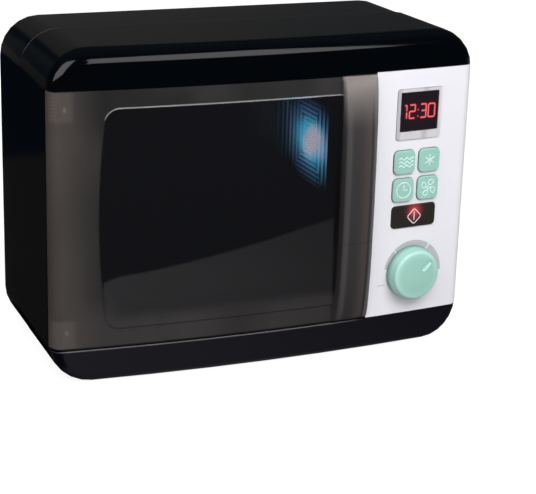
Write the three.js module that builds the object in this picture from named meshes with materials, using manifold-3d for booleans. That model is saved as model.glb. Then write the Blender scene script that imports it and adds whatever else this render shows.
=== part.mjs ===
// Toy microwave oven: rounded black casing with a bowed front, a smoked swing door with a pillar handle,
// and a white control panel that wraps the right-hand edge.
// Millimetres. +X is right seen from the front, +Y runs to the back and +Z is up.
// The origin is the middle of the underside.
import * as THREE from 'three';
import { mergeVertices } from 'three/addons/utils/BufferGeometryUtils.js';
import Module from 'manifold-3d';

// Casing
const bodyWidth = 280;
const bodyHeight = 208;
const bodyDepth = 131.2;
const frontBow = 7.7; // the front's two sides stand this far behind its middle
const cornerRadius = 25.5; // corners seen from the front
const edgeInset = 6; // elliptical rounding round the front, measured inwards
const edgeDepth = 7.5; // and measured backwards
const topEdgeInset = 9.2; // the same rounding along the top, where it is larger
const topEdgeDepth = 12.5;
const rearRounding = 4;
const rearStep = 0.4; // the rear cover is this much smaller at the sides and twice that at the top
const wall = 2.2;
const seamY = 11;
const seamGap = 0.3;
const lipLength = 3;
const lipWall = 1.4;

// Clearances and cuts
const seatGap = 0.3; // between pieces that rest on each other
const runGap = 0.4; // between pieces that move past each other
const runFit = 0.09; // round a shaft or pin that turns
const overrun = 2; // cutting tools run this far past what they cut
const skin = 0.06; // keeps two joined surfaces from lying in one plane

// Front: base, door and panel
const baseTop = 22.3;
const doorTopBand = 24; // casing above the door
const panelTopBand = 22.9; // and above the panel
const panelWidth = 71.8; // from the panel's left edge to the casing's side
const panelEdgeRoom = 8.2; // the part of that width that turns the corner
const bulkheadDepth = 8; // the wall behind door and panel, behind the front surface
const bulkheadWall = 2.2;

// Cavity
const cavitySide = 24; // from the casing's left side
const cavityToPanel = 12.2;
const cavityFloor = 30;
const cavityUnderTop = 31; // from the casing's top
const cavityRadius = 12;
const cavityRearRounding = 5;
const linerWall = 1.8;
const linerFlange = 4;
const linerFlangeWall = 1.6;

// Door
const doorWall = 2.2;
const doorRimWall = 1.8;
const doorLift = 0.8; // door's lower edge above the base
const mouthBevel = 0.5; // on the casing's edges over and under the door
const hingeInset = 7; // hinge axis from the casing's left side and from the front
const hingeRoll = 7.1; // outer radius of the door's rolled hinge edge
const hingeRollWall = 2.2;
const hingeRollStart = 180;
const hingeRollEnd = 138;
const hingePocket = 7.6;
const hingePocketWall = 1.6;
const hingeBlockHeight = 17;
const hingeBlockWidth = 4.6;
const hingeBarrel = 4.4;
const pinRadius = 1.5;
const pinDepth = 13; // how far a pin reaches into the door
const pinAnchor = 6.5; // and into the casing
const pinBoss = 4;
const windowSide = 28.6; // from the casing's left side
const windowUnderHandle = 4.1;
const windowUnderTop = 10.9; // from the door's top edge
const windowOverBase = 12.7; // from its bottom edge
const windowRadius = 8.5;
const windowSideBow = 3.6;
const windowRise = 0.8;
const windowBevel = 0.9; // rounding of the window's edge above and below, measured inwards
const windowSideBevel = 4.5; // and at its left, where it is softer
const handleWidth = 25.3;
const handleRise = 8.6;
const handleWall = 2;
const handleCurve = 2.4; // exponent of the handle's rounded side view
const tongueInset = 5.2; // from the panel's left edge
const tongueWidth = 3;
const tongueHeight = 10;
const tongueReach = 9; // behind the bulkhead's front
const tongueHook = 1.2;
const tongueHookLength = 2.4;

// Catch that grips the tongue
const catchWall = 1;
const catchLength = 11;
const catchHeight = 8;
const catchLeg = 5;

// Control panel, in its own frame: its middle lies on the front surface, turned with the bow.
// Places on it are shares of its height.
const bezelShare = 0.823;
const buttonRowShare = 0.632;
const startShare = 0.4073;
const knobShare = 0.1738;
const buttonPitchShare = 0.113;
const knobRadiusShare = 0.11;
const panelWall = 2.2;
const panelRimWall = 1.8;

// Display
const bezelTrim = 0.2; // narrower than the start key, and taller than wide
const bezelRadius = 2;
const bezelRise = 0.7;
const bezelSeat = 1.2;
const bezelWall = 2; // front to back
const displaySides = 4.1; // bezel left and right of the display together
const displayEnds = 7; // above and below it together
const displayRaise = 1.6; // display's middle above the bezel's
const displayWall = 1;
const displaySunk = 0.5;
const displayRadius = 0.6;
const moduleSides = 3.3; // the display's module is this much narrower
const moduleEnds = 10.6; // and lower than the display

// Buttons
const buttonRadius = 3.2;
const buttonSpace = 3; // between two keys
const buttonRise = 1.6;
const buttonTravel = 1.5;
const buttonGap = 0.35;
const buttonFlange = 1.2;
const buttonFlangeWall = 1.1;
const buttonStem = 4.4;
const buttonStemReach = 6.6; // stem's end behind the front surface
const buttonBevel = 1;
const buttonBevelDepth = 0.7;
const startTrim = 1.2; // narrower than two keys side by side
const startLower = 0.6; // and lower than a key
const startRise = 0.9;
const startRadius = 2.6;

// Knob
const knobDraft = 1.2;
const knobHeight = 9;
const knobLift = 0.5;
const knobRounding = 2.4;
const knobDome = 0.5;
const domeShare = 0.75; // the dome's height half way out
const knobWall = 2;
const knobHub = 6;
const knobPointerAngle = 42; // from +X, towards +Z
const pointerInner = 6.2; // middle of the pointer's inner end, from the knob's middle
const pointerMargin = 5.8; // middle of its outer end, from the knob's edge
const pointerRadius = 1.6;
const pointerDepth = 0.9;
const shaftRadius = 3;
const shaftReach = 10.6;
const shaftSocket = 5; // how far the shaft enters the knob
const fitGap = 0.12; // round a pressed or soldered piece
const retainerRadius = 6;
const retainerWall = 1;
const wheelRadius = 9;
const wheelTooth = 1.1;
const wheelTeeth = 16;
const wheelWall = 2.4;
const springWall = 0.6;
const springHeight = 2;
const springLength = 17;
const springNose = 1.6;
const springPost = 3;

// Circuit board and what it carries
const boardDepth = 12.4; // front of the board behind the front surface
const boardWall = 1.6;
const boardSides = 19.8; // the board is this much narrower than the panel
const boardUnderStart = 20.6; // from the start key's middle
const boardUnderTop = 9.1; // from the panel's top
const boardPost = 3;
const boardInset = 4;
const switchSize = 6;
const switchBody = 2.6;
const switchPlunger = 1.6;
const ledRadius = 2.5;
const ledLength = 5;
const ledFlange = 0.5;
const ledFlangeWall = 1;
const chipWidth = 14;
const chipHeight = 9;
const chipWall = 1.6;

// Cavity light
const lightY = 11;
const lightShare = 0.66; // its height in the cavity
const lensWidth = 62;
const lensHeightShare = 0.476; // of the cavity's height
const lensRadius = 9;
const lensWall = 1.4;
const lensFlange = 3;
const ridgeWidth = 1.5;
const ridgeRise = 0.7;
const ridgeCount = 9;
const lampBoardSize = 16;
const lampPost = 1.6;
const lampPostLength = 8;
const lampPostSpan = 11;

// Screws that join the casing's halves
const screwRadius = 1.4;
const screwHead = 2.9;
const screwHeadWall = 1.8;
const screwLength = 15;
const screwSlot = 0.8;
const screwSlotDepth = 0.8;
const screwWellRadius = 3.5;
const screwWellWall = 1.5;
const screwSeat = 2.2;
const screwInset = 16;
const screwSide = 16;
const postRadius = 4;
const postLength = 24;
const postRib = 2;
const smallScrewLength = 6.5;
const smallScrewRadius = 1.1;
const smallScrewHead = 2.2;
const smallScrewHeadWall = 1.3;
const screwTopShare = 0.7; // the head's top against its rim

// Battery bay, seen from behind at the left
const batteryRadius = 7.2;
const batteryLength = 49;
const batteryNub = 2.6;
const batteryNubLength = 1.4;
const batteryPitch = 15.4;
const batterySide = 42; // the bay's middle from the casing's side
const batteryMiddleZ = 60;
const trayWall = 1.6;
const trayEnd = 4.6; // room for a contact at each end
const trayDepth = 17;
const batteryDoorWall = 2;
const batteryDoorRim = 3.4; // how far the door laps over the tray's mouth at its two sides
const batteryDoorTab = 6; // and above and below
const batteryDoorRadius = 3;
const batteryScrewDrop = 3.2;
const contactWall = 0.5;
const contactTurns = 3;
const contactCoil = 2.8;
const contactTip = 1.8;
const contactWire = 0.45;

// Speaker
const speakerUnderTop = 30.5;
const speakerRadius = 20;
const speakerRim = 2.4;
const speakerRimWall = 2;
const speakerDepth = 12;
const speakerMagnet = 10;
const speakerMagnetWall = 6;
const speakerCollarWall = 1.6;
const speakerCollarLength = 4;
const soundHole = 1.4;
const soundRing = 5.4;

// Vents in the rear cover
const ventWidth = 2.6;
const ventHeight = 20;
const ventPitch = 8;
const ventCount = 9;
const ventUnderTop = 50;

const wasm = await Module();
wasm.setup();

const degrees = Math.PI / 180;
const halfWidth = bodyWidth / 2;
const halfDepth = bodyDepth / 2;
const middleZ = bodyHeight / 2;
const doorTop = bodyHeight - doorTopBand;
const panelTop = bodyHeight - panelTopBand;
const panelLeft = halfWidth - panelWidth;
const panelMiddle = panelLeft + (panelWidth - panelEdgeRoom) / 2;
const cavityLeft = -halfWidth + cavitySide;
const cavityRight = panelLeft - cavityToPanel;
const cavityRoof = bodyHeight - cavityUnderTop;
const handleLeft = panelLeft - handleWidth;
const windowLeft = -halfWidth + windowSide;
const windowRight = handleLeft + windowUnderHandle;
const windowTop = doorTop - windowUnderTop;
const windowBottom = baseTop + windowOverBase;
const trayFront = halfDepth - batteryDoorWall - seatGap - trayDepth;
const cavityBack = trayFront - linerWall - seatGap;
const tongueX = panelLeft - tongueInset;
const tongueZ = (baseTop + doorTop) / 2;
const doorBottom = baseTop + doorLift;

const buttonPitch = onHeight(buttonPitchShare);
const buttonSize = buttonPitch - buttonSpace;
const buttonRowZ = baseTop + onHeight(buttonRowShare);
const startWidth = buttonPitch + buttonSize - startTrim;
const startHeight = buttonSize - startLower;
const startZ = baseTop + onHeight(startShare);
const bezelWidth = startWidth - bezelTrim;
const bezelHeight = bezelWidth + bezelTrim;
const bezelZ = baseTop + onHeight(bezelShare);
const displayWidth = bezelWidth - displaySides;
const displayHeight = bezelHeight - displayEnds;
const displayZ = bezelZ + displayRaise;
const moduleWidth = displayWidth - moduleSides;
const moduleHeight = displayHeight - moduleEnds;
const knobZ = baseTop + onHeight(knobShare);
const knobRadius = onHeight(knobRadiusShare);
const pointerOuter = knobRadius - pointerMargin;
const boardBottom = startZ - boardUnderStart;
const boardTop = panelTop - boardUnderTop;
const boardWidth = panelWidth - boardSides;

const lightZ = cavityFloor + lightShare * (cavityRoof - cavityFloor);
const lensHeight = lensHeightShare * (cavityRoof - cavityFloor);
const ridgePitch = Math.min(lensWidth, lensHeight) / 2 / (ridgeCount + 1);
const batteryMiddleX = halfWidth - batterySide;
const batteryTop = batteryMiddleZ + batteryDoorSize()[1] / 2;
const speakerX = batteryMiddleX;
const speakerZ = (batteryTop + bodyHeight - speakerUnderTop) / 2;
const ventMiddleX = (batteryMiddleX - batteryDoorSize()[0] / 2 - halfWidth) / 2;
const ventZ = bodyHeight - ventUnderTop;

const panelTurn = Math.atan(2 * frontBow * panelMiddle / halfWidth ** 2);
const hingeX = -halfWidth + hingeInset;
const hingeY = frontAt(hingeX) + hingeInset;

const blackShell = finish('#0b0c10', 0.28);
const blackInner = finish('#101116', 0.4);
const smokedDoor = finish('#4a4748', 0.2);
const whitePanel = finish('#f0f0f5', 0.35);
const mintKey = finish('#9fd0c2', 0.4);
const blackKey = finish('#26211f', 0.35);
const silverTrim = finish('#c8c8cb', 0.3, 0.6);
const displayLens = finish('#231a20', 0.1);
const clearLens = finish('#9fd4e6', 0.15);
const steel = finish('#b8babd', 0.3, 1);
const boardGreen = finish('#1f5a38', 0.5);
const chipBlack = finish('#17181a', 0.6);
const redLamp = finish('#c8323a', 0.3);
const blueLamp = finish('#bfe6f5', 0.2);
const whiteNylon = finish('#e4e3dc', 0.5);
const speakerGrey = finish('#303236', 0.6);
const batteryJacket = finish('#3c6a4b', 0.4);

const microwave = new THREE.Group();
const controls = new THREE.Group();
controls.position.set(panelMiddle, frontAt(panelMiddle), 0);
controls.rotation.z = panelTurn;
controls.updateMatrix();
microwave.add(controls);

// A share of the control panel's height.
function onHeight(share) {
  return share * (panelTop - baseTop);
}

// A plain or metallic moulding material.
function finish(color, roughness, metalness = 0) {
  return new THREE.MeshStandardMaterial({ color, roughness, metalness });
}

// The front surface's y at x: a shallow parabola, furthest forward in the middle.
function frontAt(x) {
  return -halfDepth + frontBow * (x / halfWidth) ** 2;
}

// Turns a closed geometry into a solid with its faces pointing out.
function solid(geometry) {
  const bare = geometry.clone();
  bare.deleteAttribute('normal');
  bare.deleteAttribute('uv');
  const merged = mergeVertices(bare);
  const positions = Float32Array.from(merged.attributes.position.array);
  const triangles = [];
  const index = merged.index.array;
  const corner = (i) => new THREE.Vector3().fromArray(positions, 3 * i);
  let volume = 0;
  for (let i = 0; i < index.length; i += 3) {
    const [a, b, c] = [index[i], index[i + 1], index[i + 2]];
    if (a === b || b === c || c === a) continue;
    volume += corner(a).dot(corner(b).cross(corner(c)));
    triangles.push(a, b, c);
  }
  if (volume < 0) triangles.reverse();
  return new wasm.Manifold(new wasm.Mesh({
    numProp: 3,
    vertProperties: positions,
    triVerts: Uint32Array.from(triangles),
  }));
}

// Joins geometries or solids into one solid.
function join(...pieces) {
  return pieces.map(asSolid).reduce((sum, piece) => sum.add(piece));
}

// Takes each tool away from the base.
function cut(base, ...tools) {
  return tools.map(asSolid).reduce((rest, tool) => rest.subtract(tool), asSolid(base));
}

// Keeps what two pieces share.
function common(a, b) {
  return asSolid(a).intersect(asSolid(b));
}

function asSolid(piece) {
  return piece.isBufferGeometry ? solid(piece) : piece;
}

// Adds a solid to the model as a named piece.
function addPiece(name, piece, material, parent = microwave) {
  const result = asSolid(piece).getMesh();
  const geometry = new THREE.BufferGeometry();
  geometry.setAttribute('position', new THREE.BufferAttribute(Float32Array.from(result.vertProperties), 3));
  geometry.setIndex(new THREE.BufferAttribute(Uint32Array.from(result.triVerts), 1));
  geometry.computeVertexNormals();
  const mesh = new THREE.Mesh(geometry, material);
  mesh.name = name;
  parent.add(mesh);
  return mesh;
}

// A block between two corners.
function block(x0, x1, y0, y1, z0, z1) {
  const geometry = new THREE.BoxGeometry(x1 - x0, y1 - y0, z1 - z0);
  return geometry.translate((x0 + x1) / 2, (y0 + y1) / 2, (z0 + z1) / 2);
}

// A round bar along x, y or z, from one station to another. Its centre line passes through a and b on the
// other two axes, taken in x, y, z order.
function bar(axis, radius, from, to, a, b, sides = 12) {
  const geometry = new THREE.CylinderGeometry(radius, radius, to - from, sides);
  const middle = (from + to) / 2;
  if (axis === 'x') return geometry.rotateZ(-Math.PI / 2).translate(middle, a, b);
  if (axis === 'z') return geometry.rotateX(Math.PI / 2).translate(a, b, middle);
  return geometry.translate(a, middle, b);
}

// A body turned round a line along y, from [radius, y] points that start and end on the line.
function turned(profile, x, z, sides = 32) {
  const points = profile.map(([radius, y]) => new THREE.Vector2(radius, y));
  return new THREE.LatheGeometry(points, sides).translate(x, 0, z);
}

// A rounded rectangle about a point.
function roundedShape(width, height, radius, x = 0, y = 0) {
  const [w, h] = [width / 2, height / 2];
  const shape = new THREE.Shape();
  shape.moveTo(x - w + radius, y - h);
  shape.lineTo(x + w - radius, y - h);
  shape.absarc(x + w - radius, y - h + radius, radius, -Math.PI / 2, 0);
  shape.lineTo(x + w, y + h - radius);
  shape.absarc(x + w - radius, y + h - radius, radius, 0, Math.PI / 2);
  shape.lineTo(x - w + radius, y + h);
  shape.absarc(x - w + radius, y + h - radius, radius, Math.PI / 2, Math.PI);
  shape.lineTo(x - w, y - h + radius);
  shape.absarc(x - w + radius, y - h + radius, radius, Math.PI, 3 * Math.PI / 2);
  return shape;
}

// Extrudes a shape drawn in x and z from y0 to y1.
function plate(shape, y0, y1, curveSegments = 5) {
  const geometry = new THREE.ExtrudeGeometry(shape, { depth: y1 - y0, bevelEnabled: false, curveSegments });
  return geometry.rotateX(Math.PI / 2).translate(0, y1, 0);
}

// The upper half of a rounded rectangle about the origin, from left to right. Each column has a place and
// an outward direction, and the lower half is its mirror image.
function roundedColumns(width, height, radius, arcSteps, flatSteps) {
  const columns = [];
  const [x, z] = [width / 2 - radius, height / 2 - radius];
  const turn = Math.PI / 2 / arcSteps;
  for (let k = 0; k <= arcSteps; k += 1) {
    columns.push(arcColumn(-x, z, radius, Math.PI - k * turn));
  }
  for (let k = 1; k < flatSteps; k += 1) {
    columns.push({ x: -x + 2 * x * k / flatSteps, z: height / 2, outX: 0, outZ: 1 });
  }
  for (let k = arcSteps; k >= 0; k -= 1) {
    columns.push(arcColumn(x, z, radius, k * turn));
  }
  return columns;
}

function arcColumn(x, z, radius, angle) {
  const [outX, outZ] = [Math.cos(angle), Math.sin(angle)];
  return { x: x + radius * outX, z: z + radius * outZ, outX, outZ };
}

// The upper half of a plain rectangle between two x places, in even columns.
function straightColumns(x0, x1, height, steps) {
  return Array.from({ length: steps + 1 }, (_, k) => (
    { x: x0 + (x1 - x0) * k / steps, z: height / 2, outX: 0, outZ: 1 }
  ));
}

// A body lofted from front to back through rings that follow one outline. A ring has an inset and either a
// depth behind the bowed front surface or a level y of its own. A ring that has a top changes into that along
// the outline's upper side.
function bowed(columns, centreZ, rings) {
  const count = columns.length;
  const positions = [];
  const index = [];
  const addPoint = (ring, column, side) => {
    const share = ring.top && side > 0 ? column.outZ ** 2 : 0;
    const between = (key) => ring[key] + share * ((ring.top ?? ring)[key] - ring[key]);
    const inset = between('inset');
    const x = column.x - column.outX * inset;
    const y = ring.level === undefined ? frontAt(x) + between('depth') : ring.level;
    positions.push(x, y, centreZ + side * (column.z - column.outZ * inset));
  };
  for (const ring of rings) {
    for (const column of columns) addPoint(ring, column, 1);
    for (const column of [...columns].reverse()) addPoint(ring, column, -1);
  }
  const around = 2 * count;
  for (let r = 0; r + 1 < rings.length; r += 1) {
    for (let k = 0; k < around; k += 1) {
      const [a, b] = [r * around + k, r * around + (k + 1) % around];
      index.push(a, b, b + around, a, b + around, a + around);
    }
  }
  for (const [start, front] of [[0, true], [(rings.length - 1) * around, false]]) {
    for (let k = 0; k + 1 < count; k += 1) {
      const [a, b, c, d] = [k, k + 1, around - 2 - k, around - 1 - k].map((place) => start + place);
      if (front) index.push(a, c, b, a, d, c);
      else index.push(a, b, c, a, c, d);
    }
  }
  const geometry = new THREE.BufferGeometry();
  geometry.setAttribute('position', new THREE.BufferAttribute(Float32Array.from(positions), 3));
  geometry.setIndex(index);
  return geometry;
}

// The rings of the casing's front rounding, for a surface that lies some way inside the outer one.
function edgeRings(inside, steps) {
  return Array.from({ length: steps + 1 }, (_, k) => {
    const angle = Math.PI / 2 * (1 - k / steps);
    const [inwards, backwards] = [1 - Math.cos(angle), 1 - Math.sin(angle)];
    return {
      inset: inside + edgeInset * inwards,
      depth: inside + edgeDepth * backwards,
      top: { inset: inside + topEdgeInset * inwards, depth: inside + topEdgeDepth * backwards },
    };
  });
}

// The casing's outer form, or a coarser form that lies inside it, as far back as a level y.
function casingForm(inside, level) {
  const outside = inside <= skin;
  const columns = outside ? casingColumns() : innerColumns();
  return bowed(columns, middleZ, [...edgeRings(inside, outside ? 6 : 3), { inset: inside, level }]);
}

function casingColumns() {
  return roundedColumns(bodyWidth, bodyHeight, cornerRadius, 6, 6);
}

function innerColumns() {
  return roundedColumns(bodyWidth, bodyHeight, cornerRadius, 3, 6);
}

// The space in front of the bulkhead between two x places and two heights. A bevel widens its mouth.
function frontSpace(x0, x1, z0, z1, depth, bevel = 0) {
  const steps = Math.max(3, Math.round((x1 - x0) / cornerRadius));
  const columns = straightColumns(x0, x1, z1 - z0, steps);
  const out = 2 * handleRise;
  const mouth = [{ inset: -bevel - out, depth: -out }, { inset: 0, depth: bevel }];
  const rings = [...(bevel > 0 ? mouth : [{ inset: 0, depth: -out }]), { inset: 0, depth }];
  return bowed(columns, (z0 + z1) / 2, rings);
}

// Geometry drawn in the panel's own frame, moved to its place on the casing.
function onPanel(geometry) {
  return geometry.clone().applyMatrix4(controls.matrix);
}

// Casing halves
const caseScrews = [
  [-halfWidth + screwSide, screwInset],
  [0, screwInset],
  [halfWidth - screwSide, screwInset],
  [-halfWidth + screwSide, bodyHeight - screwInset],
  [0, bodyHeight - screwInset],
  [halfWidth - screwSide, bodyHeight - screwInset],
];
const screwFloorY = seamY + seamGap / 2;

function frontHousing() {
  const far = halfWidth + overrun;
  const doorSpace = frontSpace(-far, panelLeft, baseTop, doorTop, bulkheadDepth, mouthBevel);
  const panelSpace = frontSpace(panelLeft, far, baseTop, panelTop, bulkheadDepth);
  const behind = bulkheadDepth + bulkheadWall;
  const below = baseTop - wall;
  const doorWalls = frontSpace(-far, panelLeft, below, doorTop + wall, behind);
  const panelWalls = frontSpace(panelLeft, far, below, panelTop + wall, behind);
  const hollow = cut(casingForm(wall, seamY + overrun), doorWalls, panelWalls);
  const outer = solid(casingForm(0, seamY - seamGap / 2));
  const pocketWall = bar('z', hingePocket + hingePocketWall, below, doorTop + wall, hingeX, hingeY, 24);
  let housing = cut(join(cut(outer, hollow), common(outer, pocketWall)), doorSpace, panelSpace);
  housing = join(housing, ...[baseTop, doorTop].map((z) => common(outer, pinSocket(z))));
  housing = join(housing, ...caseScrews.map(([x, z]) => screwPost(x, z, outer)));
  return cut(
    housing,
    bar('z', hingePocket, baseTop, doorTop, hingeX, hingeY, 24),
    ...[baseTop, doorTop].map((z) => pinHole(z)),
    ...caseScrews.map(([x, z]) => bar('y', screwRadius + fitGap, seamY - screwLength, seamY, x, z, 8)),
    cavityMouth(),
    panelWindow(),
    tongueSlot(),
  );
}

// A screw post with a rib that ties it to the casing's underside or top.
function screwPost(x, z, outer) {
  const [z0, z1] = z < middleZ ? [-overrun, z] : [z, bodyHeight + overrun];
  const [y0, y1] = [seamY - postLength, seamY - lipLength - seatGap];
  const rib = common(outer, block(x - postRib / 2, x + postRib / 2, y0, y1, z0, z1));
  return join(bar('y', postRadius, y0, screwFloorY - seatGap, x, z, 12), rib);
}

// The boss that carries a hinge pin, under the door or over it.
function pinSocket(z) {
  const away = z === baseTop ? -1 : 1;
  const [a, b] = [z, z + away * (pinAnchor + wall)].sort((p, q) => p - q);
  return bar('z', pinBoss, a, b, hingeX, hingeY);
}

function pinHole(z) {
  const away = z === baseTop ? -1 : 1;
  const [a, b] = [z - away * overrun, z + away * (pinAnchor + seatGap)].sort((p, q) => p - q);
  return bar('z', pinRadius + fitGap, a, b, hingeX, hingeY, 24);
}

function cavityColumns(grow) {
  const width = cavityRight - cavityLeft + 2 * grow;
  const height = cavityRoof - cavityFloor + 2 * grow;
  const middle = (cavityLeft + cavityRight) / 2;
  const columns = roundedColumns(width, height, cavityRadius + grow, 3, 4);
  return columns.map((column) => ({ ...column, x: column.x + middle }));
}

function cavityMouth() {
  const centre = (cavityFloor + cavityRoof) / 2;
  const rings = [{ inset: 0, depth: 0 }, { inset: 0, depth: bulkheadDepth + bulkheadWall + overrun }];
  return bowed(cavityColumns(0), centre, rings);
}

// The opening behind the control panel that the board and knob reach through.
function panelWindow() {
  const [x0, x1] = [panelLeft + 2 * panelRimWall, halfWidth - hingeInset];
  const [z0, z1] = [baseTop + 2 * panelRimWall, panelTop - 2 * panelRimWall];
  return block(x0, x1, -halfDepth, frontAt(halfWidth) + bulkheadDepth + bulkheadWall + overrun, z0, z1);
}

function tongueSlot() {
  const side = runGap + tongueWidth / 2;
  const half = runGap + tongueHeight / 2;
  const y = frontAt(tongueX) + bulkheadDepth;
  const left = tongueX - side - tongueHook;
  const [y0, y1] = [y - overrun, y + bulkheadWall + overrun];
  return block(left, tongueX + side, y0, y1, tongueZ - half, tongueZ + half);
}

function rearCover() {
  const columns = casingColumns();
  const back = rearStep + rearRounding;
  const turn = Math.SQRT1_2;
  const outer = bowed(columns, middleZ - rearStep, [
    { inset: rearStep, level: seamY + seamGap / 2 },
    { inset: rearStep, level: halfDepth - rearRounding },
    { inset: rearStep + rearRounding * (1 - turn), level: halfDepth - rearRounding * (1 - turn) },
    { inset: back, level: halfDepth },
  ]);
  const inner = bowed(innerColumns(), middleZ - rearStep, [
    { inset: rearStep + wall, level: seamY - overrun },
    { inset: rearStep + wall, level: halfDepth - rearRounding },
    { inset: back, level: halfDepth - wall },
  ]);
  const band = (inset, reach) => bowed(innerColumns(), middleZ, [
    { inset, level: seamY - reach },
    { inset, level: seamY + reach },
  ]);
  const lipInset = wall + seatGap;
  const lip = cut(band(lipInset, lipLength), band(lipInset + lipWall, lipLength + overrun));
  const wells = caseScrews.map(([x, z]) => (
    bar('y', screwWellRadius + screwWellWall, screwFloorY, halfDepth - wall / 2, x, z, 12)
  ));
  const collarBore = speakerRadius + seatGap;
  const collarOuter = collarBore + speakerCollarWall;
  const collar = cut(
    bar('y', collarOuter, collarY(), halfDepth - wall / 2, speakerX, speakerZ, 24),
    bar('y', collarBore, collarY() - overrun, halfDepth - wall, speakerX, speakerZ, 24),
  );
  const cover = join(cut(outer, inner), lip, ...wells, collar, batterySeat());
  const far = halfDepth + overrun;
  const seatY = halfDepth - wall - batterySeatWall();
  return cut(
    cover,
    ...caseScrews.map(([x, z]) => bar('y', screwWellRadius, screwFloorY + screwSeat, far, x, z)),
    ...caseScrews.map(([x, z]) => bar('y', screwRadius + fitGap, seamY - overrun, halfDepth, x, z, 8)),
    ...soundHoles(),
    ...ventSlots(),
    batteryMouth(),
    batteryDoorRecess(),
    bar('y', smallScrewRadius + fitGap, seatY, halfDepth, batteryMiddleX, batteryScrewZ(), 10),
  );
}

function collarY() {
  return halfDepth - wall - speakerCollarLength;
}

function soundHoles() {
  const places = [[0, 0]];
  for (let k = 0; k < 6; k += 1) places.push([soundRing, k * 60]);
  for (let k = 0; k < 12; k += 1) places.push([2 * soundRing, k * 30]);
  return places.map(([radius, angle]) => {
    const x = speakerX + radius * Math.cos(angle * degrees);
    const z = speakerZ + radius * Math.sin(angle * degrees);
    return bar('y', soundHole, halfDepth - wall - overrun, halfDepth + overrun, x, z, 6);
  });
}

function ventSlots() {
  return Array.from({ length: ventCount }, (_, k) => {
    const x = ventMiddleX + (k - (ventCount - 1) / 2) * ventPitch;
    const slot = roundedShape(ventWidth, ventHeight, ventWidth / 2, x, ventZ);
    return plate(slot, halfDepth - wall - overrun, halfDepth + overrun, 1);
  });
}

// Battery bay
function trayWidth() {
  return batteryLength + batteryNubLength + 2 * (trayEnd + trayWall);
}

function trayHeight() {
  return 2 * batteryPitch + 2 * batteryRadius + 2 * (seatGap + trayWall);
}

function batteryDoorSize() {
  return [trayWidth() + 2 * batteryDoorRim, trayHeight() + 2 * batteryDoorTab];
}

function batterySeatWall() {
  return 2 * batteryDoorWall;
}

function batteryScrewZ() {
  return batteryTop - batteryScrewDrop;
}

// The battery door's outline, grown by a margin.
function batteryOutline(grow, radius) {
  const [width, height] = batteryDoorSize();
  return roundedShape(width + 2 * grow, height + 2 * grow, radius, batteryMiddleX, batteryMiddleZ);
}

// A frame inside the rear cover that the battery door lies in.
function batterySeat() {
  const shape = batteryOutline(wall, batteryDoorRadius + wall);
  return plate(shape, halfDepth - wall - batteryDoorWall, halfDepth - wall / 2, 3);
}

function batteryDoorRecess() {
  const shape = batteryOutline(seatGap, batteryDoorRadius);
  return plate(shape, halfDepth - batteryDoorWall - seatGap, halfDepth + overrun, 3);
}

function batteryMouth() {
  const [w, h] = [trayWidth() / 2 + seatGap, trayHeight() / 2 + seatGap];
  const [x, z] = [batteryMiddleX, batteryMiddleZ];
  const y0 = halfDepth - wall - batterySeatWall();
  return block(x - w, x + w, y0, halfDepth + overrun, z - h, z + h);
}

function batteryDoor() {
  const [x, z] = [batteryMiddleX, batteryScrewZ()];
  const far = halfDepth + overrun;
  return cut(
    plate(batteryOutline(0, batteryDoorRadius), halfDepth - batteryDoorWall, halfDepth, 3),
    bar('y', smallScrewRadius + fitGap, halfDepth - 2 * batteryDoorWall, far, x, z, 10),
    bar('y', smallScrewHead + fitGap, halfDepth - smallScrewHeadWall, far, x, z, 16),
  );
}

function batteryTray() {
  const [w, h] = [trayWidth() / 2, trayHeight() / 2];
  const y0 = trayFront;
  const y1 = y0 + trayDepth;
  const [x0, x1] = [batteryMiddleX - w, batteryMiddleX + w];
  const [z0, z1] = [batteryMiddleZ - h, batteryMiddleZ + h];
  const box = block(x0, x1, y0, y1, z0, z1);
  const room = block(x0 + trayWall, x1 - trayWall, batteryY(), y1 + overrun, z0 + trayWall, z1 - trayWall);
  const cradles = [-1, 0, 1].map((row) => {
    const z = batteryMiddleZ + row * batteryPitch;
    return bar('x', batteryRadius + seatGap, x0 + trayWall, x1 - trayWall, batteryY(), z);
  });
  return cut(box, room, ...cradles);
}

function batteryY() {
  return trayFront + trayWall + batteryRadius + seatGap;
}

// One cell lying along x, its nub to the left or to the right.
function battery(row) {
  const side = row === 0 ? -1 : 1;
  const z = batteryMiddleZ + row * batteryPitch;
  const half = batteryLength / 2;
  const [a, b] = [side * half - side * overrun, side * (half + batteryNubLength)].sort((p, q) => p - q);
  return join(
    bar('x', batteryRadius, batteryMiddleX - half, batteryMiddleX + half, batteryY(), z, 16),
    bar('x', batteryNub, batteryMiddleX + a, batteryMiddleX + b, batteryY(), z, 10),
  );
}

// A conical coil on a tab, at the flat end of each cell.
function batteryContact(row) {
  const side = row === 0 ? 1 : -1;
  const z = batteryMiddleZ + row * batteryPitch;
  const tabX = batteryMiddleX + side * (trayWidth() / 2 - trayWall - seatGap);
  const endX = batteryMiddleX + side * (batteryLength / 2 + seatGap + contactWire);
  const startX = tabX - side * contactWall;
  const path = new THREE.Curve();
  path.getPoint = (t) => {
    const angle = t * contactTurns * 2 * Math.PI;
    const radius = contactCoil + (contactTip - contactCoil) * t;
    const x = startX + (endX - startX) * t;
    return new THREE.Vector3(x, batteryY() + radius * Math.cos(angle), z + radius * Math.sin(angle));
  };
  const section = new THREE.Shape();
  section.absarc(0, 0, contactWire, 0, 2 * Math.PI);
  const steps = 6 * contactTurns;
  const coil = new THREE.ExtrudeGeometry(section, { steps, extrudePath: path, curveSegments: 2 });
  const half = contactCoil + 2 * contactWire;
  const [a, b] = [tabX, startX].sort((p, q) => p - q);
  return join(coil, block(a, b, batteryY() - half, batteryY() + half, z - half, z + half));
}

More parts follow.
